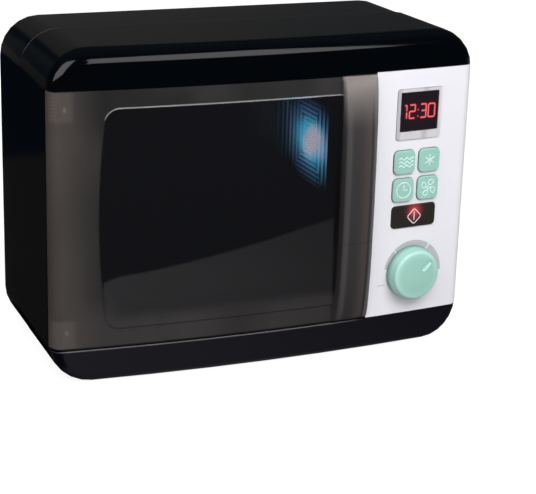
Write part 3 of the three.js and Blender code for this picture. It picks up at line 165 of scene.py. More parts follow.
class Graph:
    """Short ways to add nodes to a shader tree."""

    def __init__(self, tree):
        self.tree = tree

    def node(self, kind, inputs=(), **settings):
        """A new node with its settings, and a value or a linked socket for each input."""
        made = self.tree.nodes.new(kind)
        for key, value in settings.items():
            setattr(made, key, value)
        for key, value in dict(inputs).items():
            self.put(made.inputs[key], value)
        return made

    def put(self, socket, value):
        """Links a socket to another one, or sets its number or colour."""
        if isinstance(value, bpy.types.NodeSocket):
            self.tree.links.new(value, socket)
        elif hasattr(value, "__len__") and len(value) == 3 and socket.type == "RGBA":
            socket.default_value = (*value, 1)
        else:
            socket.default_value = value

    def parts(self, vector):
        """The x, y and z of a vector."""
        return self.node("ShaderNodeSeparateXYZ", {0: vector}).outputs

    def math(self, operation, a, b=0.0, c=0.0, clamp=False):
        inputs = {0: a, 1: b, 2: c}
        return self.node("ShaderNodeMath", inputs, operation=operation, use_clamp=clamp).outputs[0]

    def plus(self, a, b):
        return self.math("ADD", a, b)

    def minus(self, a, b):
        return self.math("SUBTRACT", a, b)

    def over(self, a, b, clamp=False):
        return self.math("DIVIDE", a, b, clamp=clamp)

    def most(self, a, b):
        return self.math("MAXIMUM", a, b)

    def times(self, *values):
        total = values[0]
        for value in values[1:]:
            total = self.math("MULTIPLY", total, value)
        return total

    def plus_scaled(self, value, factor, added):
        """The value times the factor, plus what is added."""
        return self.math("MULTIPLY_ADD", value, factor, added)

    def ramp(self, value, low, high, first=0.0, last=1.0, smooth=True):
        """Runs from first to last while the value goes from low to high, and stays level outside."""
        made = self.node(
            "ShaderNodeMapRange",
            {"Value": value, "From Min": low, "From Max": high, "To Min": first, "To Max": last},
            interpolation_type="SMOOTHSTEP" if smooth else "LINEAR",
        )
        return made.outputs["Result"]

    def mix(self, share, a, b):
        """Two colours mixed by a share of the second."""
        return self.node("ShaderNodeMix", {0: share, 6: a, 7: b}, data_type="RGBA").outputs[2]

    def blend(self, share, a, b):
        """Two shaders mixed by a share of the second."""
        return self.node("ShaderNodeMixShader", {0: share, 1: a, 2: b}).outputs[0]

    def within(self, value, middle, half, soft):
        """1 where the value is within half of the middle, fading over soft."""
        away = self.math("ABSOLUTE", self.minus(value, middle))
        return self.ramp(away, half - soft / 2, half + soft / 2, 1.0, 0.0)

    def away(self, *pairs):
        """Distance from a point, given as (value, middle) for each axis that counts."""
        squares = [self.math("POWER", self.minus(value, middle), 2) for value, middle in pairs]
        total = squares[0]
        for square in squares[1:]:
            total = self.plus(total, square)
        return self.math("SQRT", total)

    def rounded(self, across, up, middle, half, radius):
        """Depth inside a rounded rectangle's outline, negative outside it."""
        beyond = [
            self.minus(self.math("ABSOLUTE", self.minus(value, center)), reach - radius)
            for value, center, reach in zip((across, up), middle, half)
        ]
        outer = self.away(*[(self.most(value, 0.0), 0.0) for value in beyond])
        inner = self.math("MINIMUM", self.most(*beyond), 0.0)
        return self.minus(self.minus(radius, outer), inner)


class Finish(Graph):
    """A Principled material. Its places are in the frame of the part and ride with the piece."""

    def __init__(self, name, color, roughness, **sockets):
        self.material = bpy.data.materials.new(name)
        self.material.use_nodes = True
        super().__init__(self.material.node_tree)
        self.shader = self.tree.nodes["Principled BSDF"]
        self.place = self.node("ShaderNodeTexCoord").outputs["Object"]
        self.axes = self.parts(self.place)
        self.set("Base Color", color)
        self.set("Roughness", roughness)
        for socket, value in sockets.items():
            self.set(socket, value)

    def set(self, name, value):
        """Sets or links one of the shader's own sockets."""
        self.put(self.shader.inputs[name], value)

    def axis(self, name):
        """X, Y or Z in millimetres."""
        return self.times(self.axes[name], 1000)

    def noise(self, scale, detail, stretch=(1, 1, 1)):
        """Soft noise that rides with the piece."""
        moved = self.node("ShaderNodeMapping", {"Vector": self.place, "Scale": stretch})
        inputs = {"Vector": moved.outputs[0], "Scale": scale, "Detail": detail}
        return self.node("ShaderNodeTexNoise", inputs).outputs["Fac"]

    def bump(self, height, distance, strength):
        """Fine relief, its distance in millimetres."""
        inputs = {"Height": height, "Distance": distance * MM, "Strength": strength}
        self.set("Normal", self.node("ShaderNodeBump", inputs).outputs[0])


def scaled(color, factor):
    """A colour made lighter or darker."""
    return tuple(factor * value for value in color)


def moulded(name, color, roughness, grain, swing):
    """Moulded plastic: faint colour and gloss variation and a fine orange-peel surface.

    The grain is the relief's height in millimetres, the swing the share by which the colour varies.
    """
    look = Finish(name, color, roughness)
    look.cloud = look.noise(38, 3)
    look.set("Base Color", look.mix(look.cloud, scaled(color, 1 - swing), scaled(color, 1 + swing)))
    look.set("Roughness", look.ramp(look.cloud, 0.3, 0.7, roughness * 0.9, roughness * 1.12))
    look.bump(look.noise(900, 2), grain, 0.5)
    return look


def polished_steel():
    """Steel of the screws, pins, springs and contacts."""
    color, roughness = (0.62, 0.62, 0.63), 0.28
    look = Finish("steel", color, roughness, Metallic=1.0)
    grain = look.noise(900, 3)
    look.set("Roughness", look.ramp(grain, 0.3, 0.7, roughness * 0.8, roughness * 1.25))
    look.set("Base Color", look.mix(grain, scaled(color, 0.86), color))
    look.bump(grain, 0.02, 0.4)
    return look


def mint_plastic(name, side):
    """Satin mint moulding with painted shade down its sides, darkest at the panel. The side is their
    height in millimetres.
    """
    look = moulded(name, MINT, 0.32, grain=0.012, swing=0.03)
    look.set("Specular IOR Level", 0.9)
    right = look.minus(look.axis("X"), PANEL_MIDDLE[0])
    back = look.minus(look.axis("Y"), PANEL_MIDDLE[1])
    cosine, sine = math.cos(PANEL_TURN), math.sin(PANEL_TURN)
    look.across = look.plus(look.times(right, cosine), look.times(back, sine))
    look.out = look.minus(look.times(right, sine), look.times(back, cosine))
    color = look.mix(look.cloud, scaled(MINT, 0.97), scaled(MINT, 1.03))
    # Painted shade: the mint darkens towards the panel over the height of the sides
    look.color = look.mix(look.ramp(look.out, 0.0, side, 0.85, 0.0), color, MINT_SHADE)
    look.set("Base Color", look.color)
    return look


def knob_plastic():
    """The knob's mint moulding, with a painted highlight round its rounded edge and painted shade and
    highlight along its pointer.
    """
    look = mint_plastic("mint_knob", side=5.0)
    # Painted highlight all round the top of the knob's rounded edge
    crest_highlight = look.times(look.within(look.out, KNOB_CREST, 0.6, 0.6), 0.5)
    color = look.mix(crest_highlight, look.color, (0.62, 0.95, 0.87))
    turn = math.radians(POINTER["turn"])
    cosine, sine = math.cos(turn), math.sin(turn)
    up = look.minus(look.axis("Z"), KNOB[1])
    along = look.plus(look.times(look.across, cosine), look.times(up, sine))
    beside = look.minus(look.times(up, cosine), look.times(look.across, sine))
    pointer = look.within(along, POINTER["middle"], POINTER["half"], 0.8)
    shaded = look.times(pointer, look.within(beside, POINTER["shaded"], 0.35, 0.4))
    lit = look.times(pointer, look.within(beside, POINTER["lit"], 0.35, 0.4))
    # Painted shade and painted highlight along the pointer's two sides
    color = look.mix(look.times(shaded, 0.75), color, (0.10, 0.30, 0.26))
    color = look.mix(look.times(lit, 0.7), color, (0.62, 0.92, 0.84))
    look.set("Base Color", color)
    return look


def liner_black():
    """Black lining with painted blue lamplight glowing in upright bands in the corner behind the lens.
    """
    look = moulded("black_inner", (0.0045, 0.0045, 0.0055), 0.24, grain=0.01, swing=0.2)
    look.set("Specular IOR Level", 0.15)
    x, y, z = (look.axis(name) for name in "XYZ")

    # A faint painted glow grows towards the corner, and the painted bands stand in it
    bands = look.ramp(x, 45, 56, 0.0, 0.12)
    for middle, strength in LIT_BANDS:
        bands = look.plus_scaled(look.within(x, middle, 0.5, 0.7), strength, bands)
    bands = look.times(bands, look.ramp(y, 41.5, 42.2), look.within(z, 138, 24, 30))
    look.set("Emission Color", (0.16, 0.50, 0.80))
    look.set("Emission Strength", look.times(bands, 3.2))
    return look


def polished_black():
    """Glossy black moulding, bluer at its foot, with painted highlights along the seam's top edge and
    the base's top front edge.
    """
    color = (0.0006, 0.0008, 0.0012)
    look = moulded("black_shell", color, 0.1, grain=0.004, swing=0.3)
    x, y, z = (look.axis(name) for name in "XYZ")
    base = look.mix(look.cloud, color, scaled(color, 1.6))
    foot = look.times(look.ramp(z, 22, 26, 1.0, 0.0), look.ramp(y, -45, -54))
    base = look.mix(foot, base, (0.0009, 0.0006, 0.0034))
    # Painted highlight along the seam's top edge, strongest at the left
    edge = look.times(
        look.within(y, SEAM, 0.25, 0.25),
        look.ramp(z, 191, 196),
        look.ramp(x, -124, -112, 1.0, 0.2),
    )
    # Painted highlight along the base's top front edge, under the door
    lip_highlight = look.times(
        look.within(z, BASE_TOP - 0.45, 0.35, 0.1),
        look.ramp(y, -48, -52),
        look.within(x, -37, 98, 16),
    )
    light = look.most(edge, look.times(lip_highlight, 0.7))
    look.set("Base Color", look.mix(light, base, (0.16, 0.16, 0.17)))
    return look


def window_depth(look, x, z):
    """Millimetres inside the window's outline, whose left side bows.

    The outline runs on far to the right, past the handle that covers its end.
    """
    middle = (WINDOW["top"] + WINDOW["bottom"]) / 2
    half = (WINDOW["top"] - WINDOW["bottom"]) / 2
    share = look.over(look.minus(z, middle), half - WINDOW["radius"])
    straight = look.plus_scaled(look.math("POWER", share, 2), -WINDOW["bow"], x)
    far = 400.0
    return look.rounded(straight, z, (WINDOW["left"] + far, middle), (far, half), WINDOW["radius"])


def door_frame(look, x, z):
    """Colour of the door's moulding: lighter and warmer at its hinge side and its foot's left,
    elsewhere darker leftwards, cloudy all over.
    """
    color = look.mix(look.ramp(x, -100, 30), (0.020, 0.020, 0.019), (0.030, 0.030, 0.029))
    foot = look.mix(look.ramp(x, -110, 40), (0.046, 0.041, 0.041), (0.020, 0.019, 0.020))
    color = look.mix(look.ramp(z, 36, 60, 1.0, 0.0), color, foot)
    color = look.mix(look.ramp(x, -138, -104, 1.0, 0.0), color, (0.074, 0.064, 0.058))
    darker = look.mix(0.2, color, (0, 0, 0))
    lighter = look.mix(0.16, color, (0.09, 0.075, 0.07))
    cloud = look.plus_scaled(look.noise(30, 4, (1, 1, 0.5)), 0.6, look.times(look.noise(9, 2), 0.4))
    return look.mix(look.ramp(cloud, 0.38, 0.62), darker, lighter)


def with_hinges(look, x, z, color):
    """Adds the hinge blocks behind the moulding, their ribbed rims and the glints of the pins."""
    beside = look.math("ABSOLUTE", look.plus(x, -HINGE_BLOCKS["x"]))
    upper, lower = (look.within(z, height, 9.0, 2.6) for height in HINGE_BLOCKS["heights"])
    block = look.times(look.ramp(beside, 4.4, 9.4, 1.0, 0.0), look.plus(upper, lower))
    wave = look.ramp(look.math("SINE", look.times(z, HINGE_RIBS["turn"])), -0.4, 0.8)
    ribs = look.times(look.within(x, HINGE_RIBS["x"], 2.2, 0.8), wave)
    share = look.times(block, look.plus_scaled(ribs, 0.36, 0.5))
    color = look.mix(share, color, (0.112, 0.095, 0.084))
    for height in HINGE_PINS["heights"]:
        reach = look.away((x, HINGE_PINS["x"]), (look.times(z, 0.6), 0.6 * height))
        glint = look.ramp(reach, 0.3, 1.5, 1.0, 0.0)
        color = look.mix(look.times(glint, 0.34), color, (0.30, 0.25, 0.22))
    return color


def handle_color(look, x, z):
    """Colour of the handle, mostly painted light: a reflection paler towards the top, highlights on its
    ridge and right edge, shade at its left.
    """
    # Painted reflection of the light above: lighter upwards, and much paler at the upper end
    height = look.ramp(z, 40, 158, smooth=False)
    color = look.mix(height, (0.028, 0.026, 0.0255), (0.047, 0.044, 0.043))
    top_reflection = look.math("POWER", look.ramp(z, 150, 178, smooth=False), 1.5)
    color = look.mix(top_reflection, color, (0.250, 0.228, 0.212))
    # Painted highlight along the ridge
    crest_highlight = look.times(look.within(x, HANDLE["crest_highlight"], 1.6, 2.5), 0.16)
    color = look.mix(crest_highlight, color, (0.20, 0.19, 0.19))
    warm = look.times(look.ramp(x, 54, 61.8), look.ramp(x, 62.2, 63.0, 1.0, 0.0))
    color = look.mix(look.times(warm, 0.12), color, (0.30, 0.21, 0.19))
    # Painted highlight along the right edge
    right_edge = look.times(look.ramp(x, HANDLE["right"], HANDLE["right"] + 1.5), 0.3)
    color = look.mix(right_edge, color, (0.30, 0.29, 0.30))
    # Painted shade in the groove beside the left edge
    left_edge = look.ramp(x, HANDLE["left"] - 0.3, HANDLE["left"] + 3.5, 0.80, 0.0)
    color = look.mix(left_edge, color, (0.006, 0.006, 0.006))
    # A thin dark painted reflection line across the handle
    reflected_line = look.times(look.within(z, HANDLE["line"], 0.25, 0.5), 0.6)
    return look.mix(reflected_line, color, (0.008, 0.008, 0.008))


def smoked():
    """Smoked door: a polished dark window in a hazier moulding, a painted highlight on the window's top
    edge, painted shade at its foot.
    """
    look = Finish("smoked_door", (0.05, 0.05, 0.05), 0.4, IOR=1.47)
    x, z = look.axis("X"), look.axis("Z")
    inside = window_depth(look, x, z)
    in_handle = look.ramp(x, HANDLE["left"] + 0.4, HANDLE["left"] + 1.4)
    off_handle = look.minus(1.0, in_handle)
    window = look.times(
        look.over(inside, look.ramp(z, 44, 66, 14.0, 1.1), clamp=True),
        look.ramp(z, 32, 46, 0.35, 1.0),
        off_handle,
    )
    # Painted highlight along the window's top edge
    edge_highlight = look.times(
        look.within(inside, 0.35, 0.35, 0.3),
        look.ramp(z, WINDOW["top"] - 8, WINDOW["top"] - 5),
        off_handle,
    )
    # Painted shade along the door's foot, above the gap to the base; it lets no light through
    foot = look.ramp(z, BASE_TOP + 1.4, BASE_TOP + 2.0, 1.0, 0.0)
    color = with_hinges(look, x, z, door_frame(look, x, z))
    color = look.mix(in_handle, color, handle_color(look, x, z))
    color = look.mix(window, color, (0.030, 0.029, 0.033))
    color = look.mix(edge_highlight, color, (0.26, 0.255, 0.26))
    look.set("Base Color", look.mix(foot, color, (0.002, 0.002, 0.002)))
    look.set("Roughness", look.ramp(window, 0, 1, HAZY["roughness"], POLISHED["roughness"]))
    clear = look.ramp(window, 0, 1, HAZY["clear"], POLISHED["clear"])
    look.set("Transmission Weight", look.times(clear, look.ramp(foot, 0, 1, 1.0, 0.0)))
    grain = look.times(look.noise(1400, 2), look.ramp(window, 0, 1, 1.0, 0.0))
    look.bump(grain, 0.02, 0.6)
    return look


def lens_lines(look, y, z):
    """Lines of light on the lens: upright near its two ends, level near its top and foot."""
    side, down = (
        look.minus(half, look.math("ABSOLUTE", look.minus(value, middle)))
        for value, middle, half in zip((y, z), (LENS["y"], LENS["z"]), LENS["half"])
    )
    upright, level = (
        look.math("COSINE", look.times(look.minus(depth, LENS["edge"]), 2 * math.pi / pitch))
        for depth, pitch in ((side, LENS["upright_pitch"]), (down, LENS["level_pitch"]))
    )
    is_level = look.ramp(look.minus(side, down), -0.6, 0.6)
    wave = look.plus(look.times(level, is_level), look.times(upright, look.minus(1.0, is_level)))
    return look.math("POWER", look.plus_scaled(wave, 0.5, 0.5), 1.5)


def lit_lens():
    """Ridged clear lens, its ridges lit blue round a white lamp."""
    look = Finish("lit_lens", (0.02, 0.03, 0.035), 0.2, IOR=1.49)
    y, z = look.axis("Y"), look.axis("Z")
    lamp_y, lamp_z = LAMP
    reach = look.away((look.times(y, 0.62), 0.62 * lamp_y), (z, lamp_z))
    leaning = look.plus_scaled(look.minus(z, lamp_z), 0.5, y)
    lamp = look.away((look.times(leaning, 0.76), 0.76 * lamp_y), (look.times(z, 0.8), 0.8 * lamp_z))
    core = look.ramp(lamp, 3.5, 13.5, 1.0, 0.0)
    halo = look.math("POWER", look.ramp(reach, 10.0, 31.0, 1.0, 0.0, smooth=False), 1.5)

    # The lines show more clearly further from the lamp
    even = look.ramp(reach, 9.0, 20.0, 0.85, 0.15)
    lines = look.plus(even, look.times(lens_lines(look, y, z), look.minus(1.15, even)))

    blue = look.mix(look.ramp(reach, 12, 23), (0.10, 0.70, 1.0), (0.17, 0.54, 0.97))
    beside = look.times(look.ramp(y, -10, 2, 1.0, 0.0), look.within(z, lamp_z + 1, 10, 10))
    blue = look.mix(look.times(beside, 0.8), blue, (0.48, 0.72, 1.0))
    below = look.times(look.ramp(y, 0, 14, 1.0, 0.0), look.ramp(z, lamp_z - 22, lamp_z - 6, 1.0, 0.0))
    blue = look.mix(look.times(below, 0.7), blue, (0.09, 0.72, 0.92))
    look.set("Emission Color", look.mix(core, blue, (0.98, 0.96, 1.0)))
    around = look.times(halo, lines, 19.5)
    look.set("Emission Strength", look.plus(around, look.times(core, look.minus(16.5, around))))
    look.bump(look.noise(700, 2), 0.01, 0.4)
    return look


def battery_jacket():
    """Printed cell: a dark band at one end of a coloured jacket, without words."""
    look = Finish("battery_jacket", (0.05, 0.16, 0.08), 0.3, Metallic=0.35)
    band = look.ramp(look.axis("X"), 108, 109, 0.0, 1.0)
    body = look.mix(look.noise(60, 3), (0.035, 0.13, 0.065), (0.055, 0.18, 0.09))
    look.set("Base Color", look.mix(band, body, (0.015, 0.015, 0.017)))
    look.bump(look.noise(800, 2), 0.01, 0.4)
    return look


def solder_mask():
    """Green board with straight copper tracks just under its surface."""
    look = Finish("board_green", (0.02, 0.11, 0.045), 0.35)
    cell = look.node(
        "ShaderNodeTexBrick",
        {"Vector": look.place, "Scale": 160, "Mortar Size": 0.035, "Mortar Smooth": 0.1},
    )
    tracks = look.minus(1.0, cell.outputs["Fac"])
    look.set("Base Color", look.mix(tracks, (0.05, 0.22, 0.09), (0.014, 0.085, 0.035)))
    look.bump(tracks, 0.03, 0.5)
    return look


def brushed_trim():
    """Silver trim brushed up and down, with a soft darker sheen right of its middle and at its left."""
    look = Finish("silver_trim", (0.72, 0.72, 0.73), 0.3, Metallic=0.25)
    x = look.axis("X")
    grain = look.noise(420, 3, (1, 1, 0.06))
    left = look.times(look.ramp(x, 85, 88, 1.0, 0.0), 0.6)
    sheen = look.plus(look.within(x, 104.2, 0.8, 7), left)
    base = look.mix(look.times(sheen, 0.75), (0.88, 0.88, 0.89), (0.42, 0.42, 0.43))
    look.set("Base Color", look.mix(grain, look.mix(0.12, base, (0, 0, 0)), base))
    look.set("Roughness", look.ramp(grain, 0.3, 0.7, 0.28, 0.4))
    look.bump(grain, 0.004, 0.4)
    return look


def display_glass():
    """Dark lens of the display with a faint painted red glow round the digits."""
    look = Finish("display_lens", (0.016, 0.010, 0.014), 0.16)
    x, z = look.axis("X"), look.axis("Z")
    digit_glow = look.times(look.within(x, 100.6, 12, 7), look.within(z, DISPLAY_UP - 0.2, 5, 6))
    cloud = look.noise(90, 3)
    look.set("Base Color", look.mix(cloud, (0.013, 0.009, 0.012), (0.018, 0.011, 0.015)))
    look.set("Emission Color", (0.8, 0.03, 0.06))
    look.set("Emission Strength", look.times(digit_glow, 0.02))
    look.bump(cloud, 0.004, 0.3)
    return look


def start_black():
    """Black key with a red lamp shining through round the top of its mark."""
    look = Finish("start_key", (0.020, 0.016, 0.014), 0.38)
    x, z = look.axis("X"), look.axis("Z")
    look.set("Base Color", look.mix(look.noise(60, 3), (0.016, 0.013, 0.011), (0.024, 0.019, 0.016)))
    reach = look.away((x, 100.3), (z, START[1] + 3.4))
    glow = look.math("POWER", look.ramp(reach, 0.5, 9.5, 1.0, 0.0, smooth=False), 2.6)
    look.set("Emission Color", (0.85, 0.06, 0.07))
    look.set("Emission Strength", look.times(glow, 0.9))
    look.bump(look.noise(900, 2), 0.01, 0.5)
    return look


def glowing(name, color, strength):
    """A lamp or a lit bar, its light a little uneven."""
    look = Finish(name, scaled(color, 0.3), 0.4)
    look.set("Emission Color", color)
    uneven = look.ramp(look.noise(400, 2), 0.2, 0.8, strength * 0.9, strength * 1.1)
    look.set("Emission Strength", uneven)
    return look


white_panel = moulded("white_panel", (0.86, 0.86, 0.90), 0.34, grain=0.006, swing=0.012)
mint_light = moulded("mint_light", (0.68, 0.91, 0.85), 0.45, grain=0.008, swing=0.02)
chip_black = moulded("chip_black", (0.012, 0.012, 0.014), 0.5, grain=0.03, swing=0.2)
white_nylon = moulded("white_nylon", (0.72, 0.71, 0.67), 0.45, grain=0.02, swing=0.03)
speaker_grey = moulded("speaker_grey", (0.035, 0.037, 0.042), 0.55, grain=0.03, swing=0.15)
scale_grey = moulded("scale_grey", (0.53, 0.55, 0.565), 0.5, grain=0.004, swing=0.02)
mark_white = moulded("mark_white", (0.78, 0.74, 0.73), 0.45, grain=0.004, swing=0.02)
steel = polished_steel()
digit_red = glowing("digit_red", (0.80, 0.045, 0.06), 0.62)
digit_core = glowing("digit_core", (0.90, 0.22, 0.22), 0.66)
mint_key = mint_plastic("mint", side=1.1)

# Finish, slot and nodes; every node that isn't named here is a steel one
DRESSED = (
    (polished_black(), "black_shell", ("front_housing", "rear_cover", "battery_door")),
    (liner_black(), "black_inner", ("cavity_liner", "battery_tray")),
    (white_panel, "white_panel", ("control_panel",)),
    (smoked(), "smoked_door", ("door",)),
    (brushed_trim(), "silver_trim", ("display_bezel",)),
    (display_glass(), "display_lens", ("display_window",)),
    (chip_black, "chip_black", ("display_module", "speaker_cone")),
    (mint_key, "mint_key", ("button_waves", "button_snowflake", "button_clock", "button_fan")),
    (start_black(), "black_key", ("button_start",)),
    (knob_plastic(), "mint_key", ("knob",)),
    (white_nylon, "white_nylon", ("knob_shaft", "click_wheel", "door_catch")),
    (solder_mask(), "board_green", ("circuit_board", "lamp_board")),
    (lit_lens(), "clear_lens", ("light_lens",)),
    (glowing("blue_lamp", (0.7, 0.9, 1.0), 2.0), "blue_lamp", ("lamp_led",)),
    (speaker_grey, "speaker_grey", ("speaker",)),
    (battery_jacket(), "battery_jacket", ("battery_1", "battery_2", "battery_3")),
)
dress = {name: (finish, slot) for finish, slot, names in DRESSED for name in names}
soft_tree = shading_tree()
for name, node in nodes.items():
    finish, slot = dress.get(name, (steel, "steel"))
    node.data.materials.clear()
    node.data.materials.append(finish.material)
    soften(node, soft_tree)


# Marks on the panel


def on_panel(x, y, z):
    """From the panel's own frame, in millimetres, to the part's frame in metres."""
    cosine, sine = math.cos(PANEL_TURN), math.sin(PANEL_TURN)
    right = PANEL_MIDDLE[0] + x * cosine - y * sine
    back = PANEL_MIDDLE[1] + x * sine + y * cosine
    return Vector((right, back, z)) * MM


INWARD = (on_panel(0, 1, 0) - on_panel(0, 0, 0)).normalized()
surfaces = {}


def surface(node):
    """Search tree over a node's faces, made once."""
    if node not in surfaces:
        surfaces[node] = BVHTree.FromObject(nodes[node], bpy.context.evaluated_depsgraph_get())
    return surfaces[node]


def lift(node, x, z, height):
    """The point height millimetres in front of the node's face at panel place x, z."""
    in_front = -40
    hit = surface(node).ray_cast(on_panel(x, in_front, z), INWARD)[0]
    return hit - INWARD * (height * MM)


def mesh_piece(name, points, faces, finish, body):
    """A smooth mesh of its own that rides on a body."""
    mesh = bpy.data.meshes.new(name)
    mesh.from_pydata([tuple(point) for point in points], [], faces)
    edit = bmesh.new()
    edit.from_mesh(mesh)
    bmesh.ops.recalc_face_normals(edit, faces=edit.faces)
    edit.to_mesh(mesh)
    edit.free()
    for polygon in mesh.polygons:
        polygon.use_smooth = True
    obj = bpy.data.objects.new(name, mesh)
    scene.collection.objects.link(obj)
    mesh.materials.append(finish.material)
    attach(obj, body)


# Across a raised line, as shares of its width and rise
STROKE = ((-0.5, 0.0), (-0.36, 0.72), (0.0, 1.0), (0.36, 0.72), (0.5, 0.0))


def strokes(name, lines, width, rise, node, body, finish, base=-MARK_SUNK):
    """Rounded raised lines along open or closed paths, seated on a node's face."""
    points, faces = [], []
    for path, closed in lines:
        count = len(path)
        rings = []
        for i in range(count):
            before = path[(i - 1) % count] if closed or i else path[0]
            after = path[(i + 1) % count] if closed or i < count - 1 else path[-1]
            along = Vector((after[0] - before[0], after[1] - before[1])).normalized()
            side = Vector((-along.y, along.x))
            ring = []
            for across, up in STROKE:
                place = Vector(path[i]) + side * (across * width)
                ring.append(len(points))
                points.append(lift(node, place.x, place.y, base + up * rise))
            rings.append(ring)
        pairs = list(zip(rings, rings[1:]))
        if closed:
            pairs.append((rings[-1], rings[0]))
        for a, b in pairs:
            for k in range(len(STROKE) - 1):
                faces.append((a[k], a[k + 1], b[k + 1], b[k]))
            faces.append((a[-1], a[0], b[0], b[-1]))
        if not closed:
            faces.append(tuple(rings[0]))
            faces.append(tuple(reversed(rings[-1])))
    mesh_piece(name, points, faces, finish, body)


def arc(x, z, radius, first, last, steps):
    """Points on a circle from the first angle to the last, in degrees."""
    angles = [math.radians(first + (last - first) * i / steps) for i in range(steps + 1)]
    return [(x + radius * math.cos(angle), z + radius * math.sin(angle)) for angle in angles]


def line(start, end, steps=6):
    """Evenly spaced points from start to end."""
    return [
        (start[0] + (end[0] - start[0]) * i / steps, start[1] + (end[1] - start[1]) * i / steps)
        for i in range(steps + 1)
    ]


def waves(x, z):
    """Three level waves, a little right of the key's middle."""
    middle, length = x + 0.9, 11.0
    apart, swing, half_waves, start = 2.45, 0.72, 5.2, 0.6
    steps = 40
    lines = []
    for row in (-1, 0, 1):
        path = []
        for i in range(steps + 1):
            share = i / steps
            height = z + row * apart + swing * math.sin(share * half_waves * math.pi - start)
            path.append((middle + (share - 0.5) * length, height))
        lines.append((path, False))
    return lines


def snowflake(x, z):
    """Three crossed arms."""
    reach = 3.9
    arms = []
    for turn in (90, 30, -30):
        right, up = reach * math.cos(math.radians(turn)), reach * math.sin(math.radians(turn))
        arms.append((line((x - right, z - up), (x + right, z + up), 10), False))
    return arms


def clock(x, z):
    """A ring with two hands."""
    ring = arc(x, z, 5.1, 0, 352.5, 47)
    long_hand = line((x, z - 0.2), (x, z + 3.4))
    short_hand = line((x - 0.2, z), (x + 2.9, z))
    return [(ring, True), (long_hand, False), (short_hand, False)]


def fan(x, z):
    """A hub with four swept blades, each an egg-shaped loop."""
    middle, half_length, half_width, sweep = 3.75, 1.85, 1.65, 0.25
    steps = 28
    lines = [(arc(x, z, 1.0, 0, 337.5, 15), True)]
    for turn in (63, 153, 243, 333):
        cosine, sine = math.cos(math.radians(turn)), math.sin(math.radians(turn))
        blade = []
        for i in range(steps):
            angle = 2 * math.pi * i / steps
            out = middle + half_length * math.cos(angle)
            swell = 1 + 0.25 * math.cos(angle)
            across = half_width * math.sin(angle) * swell - sweep * (out - 3.65)
            blade.append((x + out * cosine - across * sine, z + out * sine + across * cosine))
        lines.append((blade, True))
    return lines


def start_mark(x, z):
    """A rounded diamond round an upright bar."""
    reach, corner = 5.3, 1.5
    middle = reach - corner * math.sqrt(2)
    diamond = []
    for quarter in range(4):
        turn = math.radians(90 * quarter)
        corner_x, corner_z = x + middle * math.cos(turn), z + middle * math.sin(turn)
        diamond += arc(corner_x, corner_z, corner, 90 * quarter - 45, 90 * quarter + 45, 6)
    return [(diamond, True), (line((x, z + 3.0), (x, z - 2.7)), False)]


def key_marks():
    """The symbols of the mint keys and the start key's mark, each riding on its key."""
    for key, draw, width in (
        ("waves", waves, MARK_WIDTH),
        ("snowflake", snowflake, MARK_WIDTH),
        ("clock", clock, MARK_WIDTH),
        ("fan", fan, FAN_WIDTH),
    ):
        lines = draw(*KEYS[key])
        node, body = f"button_{key}", f"key_{key}"
        strokes(f"mark_{key}", lines, width, MARK_RISE, node, body, mint_light)
    lines = start_mark(START[0] + 0.3, START[1] - 0.2)
    node, body = "button_start", "key_start"
    strokes("mark_start", lines, START_WIDTH, START_RISE, node, body, mark_white)


def printed(name, rows):
    """A thin grey printed area on the panel, from rows of three points each."""
    points = [lift("control_panel", x, z, PRINT_RISE) for row in rows for x, z in row]
    faces = []
    for i in range(len(rows) - 1):
        for k in (0, 1):
            j = 3 * i + k
            faces.append((j, j + 1, j + 4, j + 3))
    mesh_piece(name, points, faces, scale_grey, "casing")


# The scale round the knob: angles in degrees, and radii in millimetres
SCALE_EDGE = ((-4, 23.6), (76, 21.4), (130, 20.1), (170, 19.6))
SCALE_INNER = 17.3
SCALE_BREAKS = (51.3, 129.3)
SCALE_GAP = 1.4
SCALE_STEP = 3


def scale_outer(angle):
    """Radius of the scale's outer edge."""
    for (low, at_low), (high, at_high) in zip(SCALE_EDGE, SCALE_EDGE[1:]):
        if angle <= high:
            return at_low + (at_high - at_low) * (angle - low) / (high - low)
    return SCALE_EDGE[-1][1]


def scale_band(name, first, last):
    """One length of the scale, between two angles."""
    steps = round((last - first) / SCALE_STEP)
    rows = []
    for i in range(steps + 1):
        angle = first + (last - first) * i / steps
        width = scale_outer(angle) - SCALE_INNER
        turn = math.radians(angle)
        row = []
        for share in (0, 0.5, 1):
            radius = SCALE_INNER + width * share
            row.append((KNOB[0] + radius * math.cos(turn), KNOB[1] + radius * math.sin(turn)))
        rows.append(row)
    printed(name, rows)


def scale_marks():
    """A grey arc round the knob, widest at its right end, in three lengths, and a tick."""
    first, last = SCALE_EDGE[0][0], SCALE_EDGE[-1][0]
    right, left = SCALE_BREAKS
    scale_band("scale_high", first, right - SCALE_GAP)
    scale_band("scale_middle", right + SCALE_GAP, left - SCALE_GAP)
    scale_band("scale_low", left + SCALE_GAP, last)
    start, length, height, half = -23.9, 5.3, 43.3, 0.27
    steps = 4
    rows = []
    for i in range(steps + 1):
        across = start + length * i / steps
        rows.append([(across, height + half * side) for side in (-1, 0, 1)])
    printed("scale_rest", rows)


def bent(corners, radius=0.7, closed=False):
    """A path through corners, each rounded by a short arc."""
    steps = 4
    path = []
    count = len(corners)
    for i, corner in enumerate(corners):
        here = Vector(corner)
        if not closed and i in (0, count - 1):
            path.append(tuple(here))
            continue
        back = (Vector(corners[i - 1]) - here).normalized() * radius
        onward = (Vector(corners[(i + 1) % count]) - here).normalized() * radius
        for k in range(steps + 1):
            share = k / steps
            path.append(tuple(here + back * (1 - share) ** 2 + onward * share ** 2))
    return path, closed


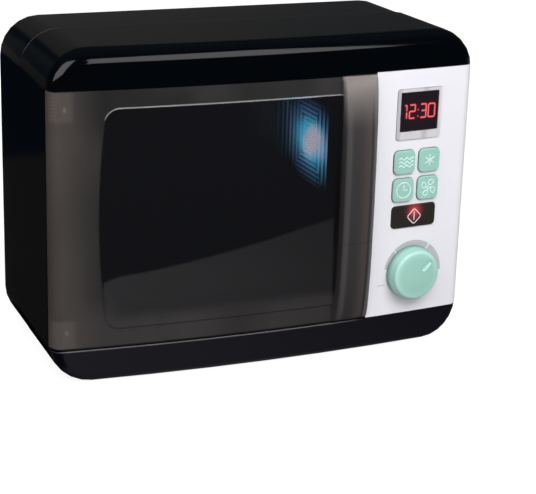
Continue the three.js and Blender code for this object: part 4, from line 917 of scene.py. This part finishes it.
def digits():
    """Time on the display: rounded glowing bars with paler cores."""
    high, middle, low = DISPLAY_UP + DIGIT_HALF, DISPLAY_UP + 0.1, DISPLAY_UP - DIGIT_HALF
    lines = [
        bent([(-10.9, high - 0.1), (-9.4, high - 0.1), (-9.4, DISPLAY_UP + 0.5)], 0.4),
        bent([(-9.4, DISPLAY_UP - 0.3), (-9.4, low)]),
        bent([(-7.1, high), (-3.2, high), (-3.2, middle), (-7.3, middle), (-7.3, low), (-3.4, low)]),
        bent([(1.0, high), (4.9, high), (4.9, low), (1.0, low)]),
        bent([(1.6, middle), (4.7, middle)]),
        bent([(6.6, high - 0.1), (11.4, high - 0.1), (11.4, low - 0.1), (6.6, low - 0.1)], 1.3, True),
    ]
    for dot in (DISPLAY_UP + 0.9, DISPLAY_UP - 3.3):
        lines.append(bent([(-1.25, dot), (-0.75, dot)]))
    for name, width, base, finish in (
        ("display_digits", DIGIT_WIDTH, 0.0, digit_red),
        ("display_digit_cores", CORE_WIDTH, CORE_BASE, digit_core),
    ):
        node, slot = "display_window", "display_lens"
        strokes(name, lines, width, DIGIT_RISE, node, "casing", finish, base)


key_marks()
scale_marks()
digits()


# Stage, light and camera


def ray_kinds(graph):
    """1 for rays that show the backdrop, straight or through clear plastic, and 1 for gloss rays."""
    rays = graph.node("ShaderNodeLightPath").outputs
    return graph.most(rays["Is Camera Ray"], rays["Is Transmission Ray"]), rays["Is Glossy Ray"]


def floor_gloss(graph):
    """The floor's colour in gloss, by place in metres: a bright sheet and a dim wall far behind."""
    x, y, _ = graph.parts(graph.node("ShaderNodeTexCoord").outputs["Object"])

    # The sheet starts at a slanted line in front and ends behind the toy, further back at its right
    slant, start = 0.306, 0.2716
    ahead = graph.plus_scaled(x, slant, graph.plus(y, start))
    behind = graph.times(graph.ramp(x, -0.11, 0.02), graph.ramp(y, 0.10, 0.16))
    aside = graph.most(graph.ramp(x, 0.10, 0.22), behind)
    further = graph.times(aside, graph.ramp(y, 1.0, 1.1, 1.0, 0.0))
    depth = graph.most(graph.ramp(y, 0.455, 0.485, 1.0, 0.0), further)
    near = graph.times(graph.ramp(ahead, -0.004, 0.004), depth)

    # It is darker to the right and further back, with a painted shadow under the toy and before the
    # toy's left end
    toy_middle, toy_half, toy_corner = (0, 0.018), (0.14, 0.070), 0.02
    toy_shadow = graph.rounded(x, y, toy_middle, toy_half, toy_corner)
    level = graph.times(
        graph.ramp(y, -0.22, -0.11, 2.0, 1.0),
        graph.ramp(y, -0.085, -0.01, 0.28, 0.015),
        graph.ramp(x, -0.2, 0.2, 1.15, 0.38, smooth=False),
        graph.ramp(toy_shadow, -0.012, -0.001, 1.0, 0.05),
        graph.most(graph.ramp(x, -0.143, -0.131, 0.15, 1.0), graph.ramp(y, -0.05, -0.03)),
    )

    # Behind the toy and far to its right it keeps some light, which the back and the side mirror
    level = graph.most(level, graph.times(aside, graph.ramp(y, 0.0, 0.12), 0.3))
    beyond = graph.mix(graph.ramp(y, 0.3, 0.5), (0.004, 0.016, 0.030), (0.003, 0.006, 0.010))
    sheet = graph.mix(near, beyond, graph.mix(level, (0, 0, 0), (1.0, 0.97, 0.99)))

    leftward = graph.over(x, graph.most(y, 0.05))
    far = graph.times(graph.ramp(y, 1.15, 1.25), graph.ramp(leftward, -0.44, -0.28, 0.35, 1.0))
    return graph.mix(far, sheet, (0.060, 0.058, 0.055))


def stage_floor():
    """A pale floor that keeps the toy's shadow and has a look of its own in gloss."""
    reach = 9
    mesh = bpy.data.meshes.new("floor")
    corners = [(-reach, -reach, 0), (reach, -reach, 0), (reach, reach, 0), (-reach, reach, 0)]
    mesh.from_pydata(corners, [], [(0, 1, 2, 3)])
    floor = bpy.data.objects.new("floor", mesh)
    scene.collection.objects.link(floor)
    material = bpy.data.materials.new("floor")
    material.use_nodes = True
    graph = Graph(material.node_tree)
    graph.tree.nodes.clear()
    direct, glossy = ray_kinds(graph)
    paper = graph.node("ShaderNodeBsdfDiffuse", {"Color": (0.3, 0.3, 0.3)}).outputs[0]

    # It glows nearly white where it is seen and only faintly on the toy
    glow = graph.ramp(direct, 0, 1, 0.2, 0.88)
    white = graph.node("ShaderNodeEmission", {"Strength": glow}).outputs[0]
    seen = graph.node("ShaderNodeAddShader", {0: paper, 1: white}).outputs[0]
    gloss = graph.node("ShaderNodeEmission", {"Color": floor_gloss(graph), "Strength": 1.0}).outputs[0]
    output = graph.node("ShaderNodeOutputMaterial")
    graph.put(output.inputs["Surface"], graph.blend(glossy, seen, gloss))
    mesh.materials.append(material)


def world_gloss(graph):
    """The world's colour in gloss, by direction: a dark studio with a dim wall behind the toy."""
    x, y, z = graph.parts(graph.node("ShaderNodeTexCoord").outputs["Generated"])
    high = graph.times(graph.ramp(z, 0.5, 0.8), graph.ramp(y, -0.5, 0.1))
    dark = graph.mix(high, (0.005, 0.013, 0.022), (0.026, 0.040, 0.055))
    aside = graph.over(x, graph.most(y, 0.05))
    wall = graph.times(
        graph.ramp(y, 0.30, 0.45),
        graph.ramp(z, 0.28, 0.66, 1.0, 0.0),
        graph.ramp(aside, -0.39, -0.27),
        graph.ramp(aside, -0.30, -0.14, 0.45, 1.0),
        graph.ramp(aside, 0.24, 0.56, 1.0, 0.55, smooth=False),
        graph.minus(1.0, graph.within(aside, -0.185, 0.055, 0.06)),
    )
    return graph.mix(wall, dark, (0.062, 0.060, 0.058))


def stage_world():
    """White backdrop, soft grey light, and a studio of its own in gloss."""
    world = bpy.data.worlds.new("studio")
    scene.world = world
    world.use_nodes = True
    graph = Graph(world.node_tree)
    graph.tree.nodes.clear()
    direct, glossy = ray_kinds(graph)

    def background(color, strength):
        return graph.node("ShaderNodeBackground", {"Color": color, "Strength": strength}).outputs[0]

    unseen = graph.blend(glossy, background((1, 1, 1), SOFT_LIGHT), background(world_gloss(graph), 1.0))
    output = graph.node("ShaderNodeOutputWorld")
    graph.put(output.inputs["Surface"], graph.blend(direct, unseen, background((1, 1, 1), 1.0)))


def softbox(name, facing, azimuths, elevations, distance, radiance, gloss=True):
    """An upright rectangular light that faces the toy from one azimuth.

    Its sides stand at two azimuths seen from the toy. Its lower and upper edges reach two elevations
    where it is square on. All in degrees, the azimuths from the front towards the right.
    """
    turn = math.radians(facing)
    out = Vector((math.sin(turn), -math.cos(turn), 0))
    right = Vector((math.cos(turn), math.sin(turn), 0))
    left_edge, right_edge = (
        distance * math.tan(math.radians(azimuth - facing)) for azimuth in azimuths
    )
    low, high = (distance * math.tan(math.radians(elevation)) for elevation in elevations)
    light = bpy.data.lights.new(name, "AREA")
    light.shape = "RECTANGLE"
    light.size, light.size_y = right_edge - left_edge, high - low
    light.energy = radiance * math.pi * light.size * light.size_y
    light.color = (1.0, 0.975, 1.0)
    obj = bpy.data.objects.new(name, light)
    scene.collection.objects.link(obj)
    middle = out * distance + right * ((left_edge + right_edge) / 2)
    obj.location = middle + Vector((0, LIT_BACK, (low + high) / 2 + LIT_UP))
    obj.rotation_euler = (-out).to_track_quat("-Z", "Y").to_euler()
    obj.visible_glossy = gloss


def set_camera():
    """The camera fitted to the photo."""
    data = bpy.data.cameras.new("camera")
    camera = bpy.data.objects.new("camera", data)
    scene.collection.objects.link(camera)
    azimuth, elevation = math.radians(CAMERA_AZIMUTH), math.radians(CAMERA_ELEVATION)
    roll = math.radians(CAMERA_ROLL)
    level = math.cos(elevation)
    back = Vector((math.sin(azimuth) * level, -math.cos(azimuth) * level, math.sin(elevation)))
    right = Vector((0, 0, 1)).cross(back).normalized()
    up = back.cross(right)
    cosine, sine = math.cos(roll), math.sin(roll)
    axes = Matrix((cosine * right + sine * up, -sine * right + cosine * up, back))
    place = Matrix.Translation(Vector(CAMERA_PLACE) * MM)
    camera.matrix_world = place @ axes.transposed().to_4x4()
    width, height = PHOTO_SIZE
    data.sensor_width = SENSOR_WIDTH
    data.lens = FOCAL_LENGTH * SENSOR_WIDTH / width
    data.shift_x = (width / 2 - PRINCIPAL_POINT[0]) / width
    data.shift_y = -(height / 2 - PRINCIPAL_POINT[1]) / width
    data.clip_start, data.clip_end = 0.05, 50
    scene.camera = camera


stage_floor()
stage_world()
softbox("front_right", 45, azimuths=(1, 39), elevations=(15, 57), distance=1.2, radiance=2.0)
softbox("left", -58, azimuths=(-92, -36), elevations=(19, 62), distance=1.2, radiance=2.1)
softbox("key", 0, azimuths=(-32, 32), elevations=(33, 62), distance=0.9, radiance=5.9, gloss=False)
set_camera()
scene.view_settings.view_transform = "Standard"
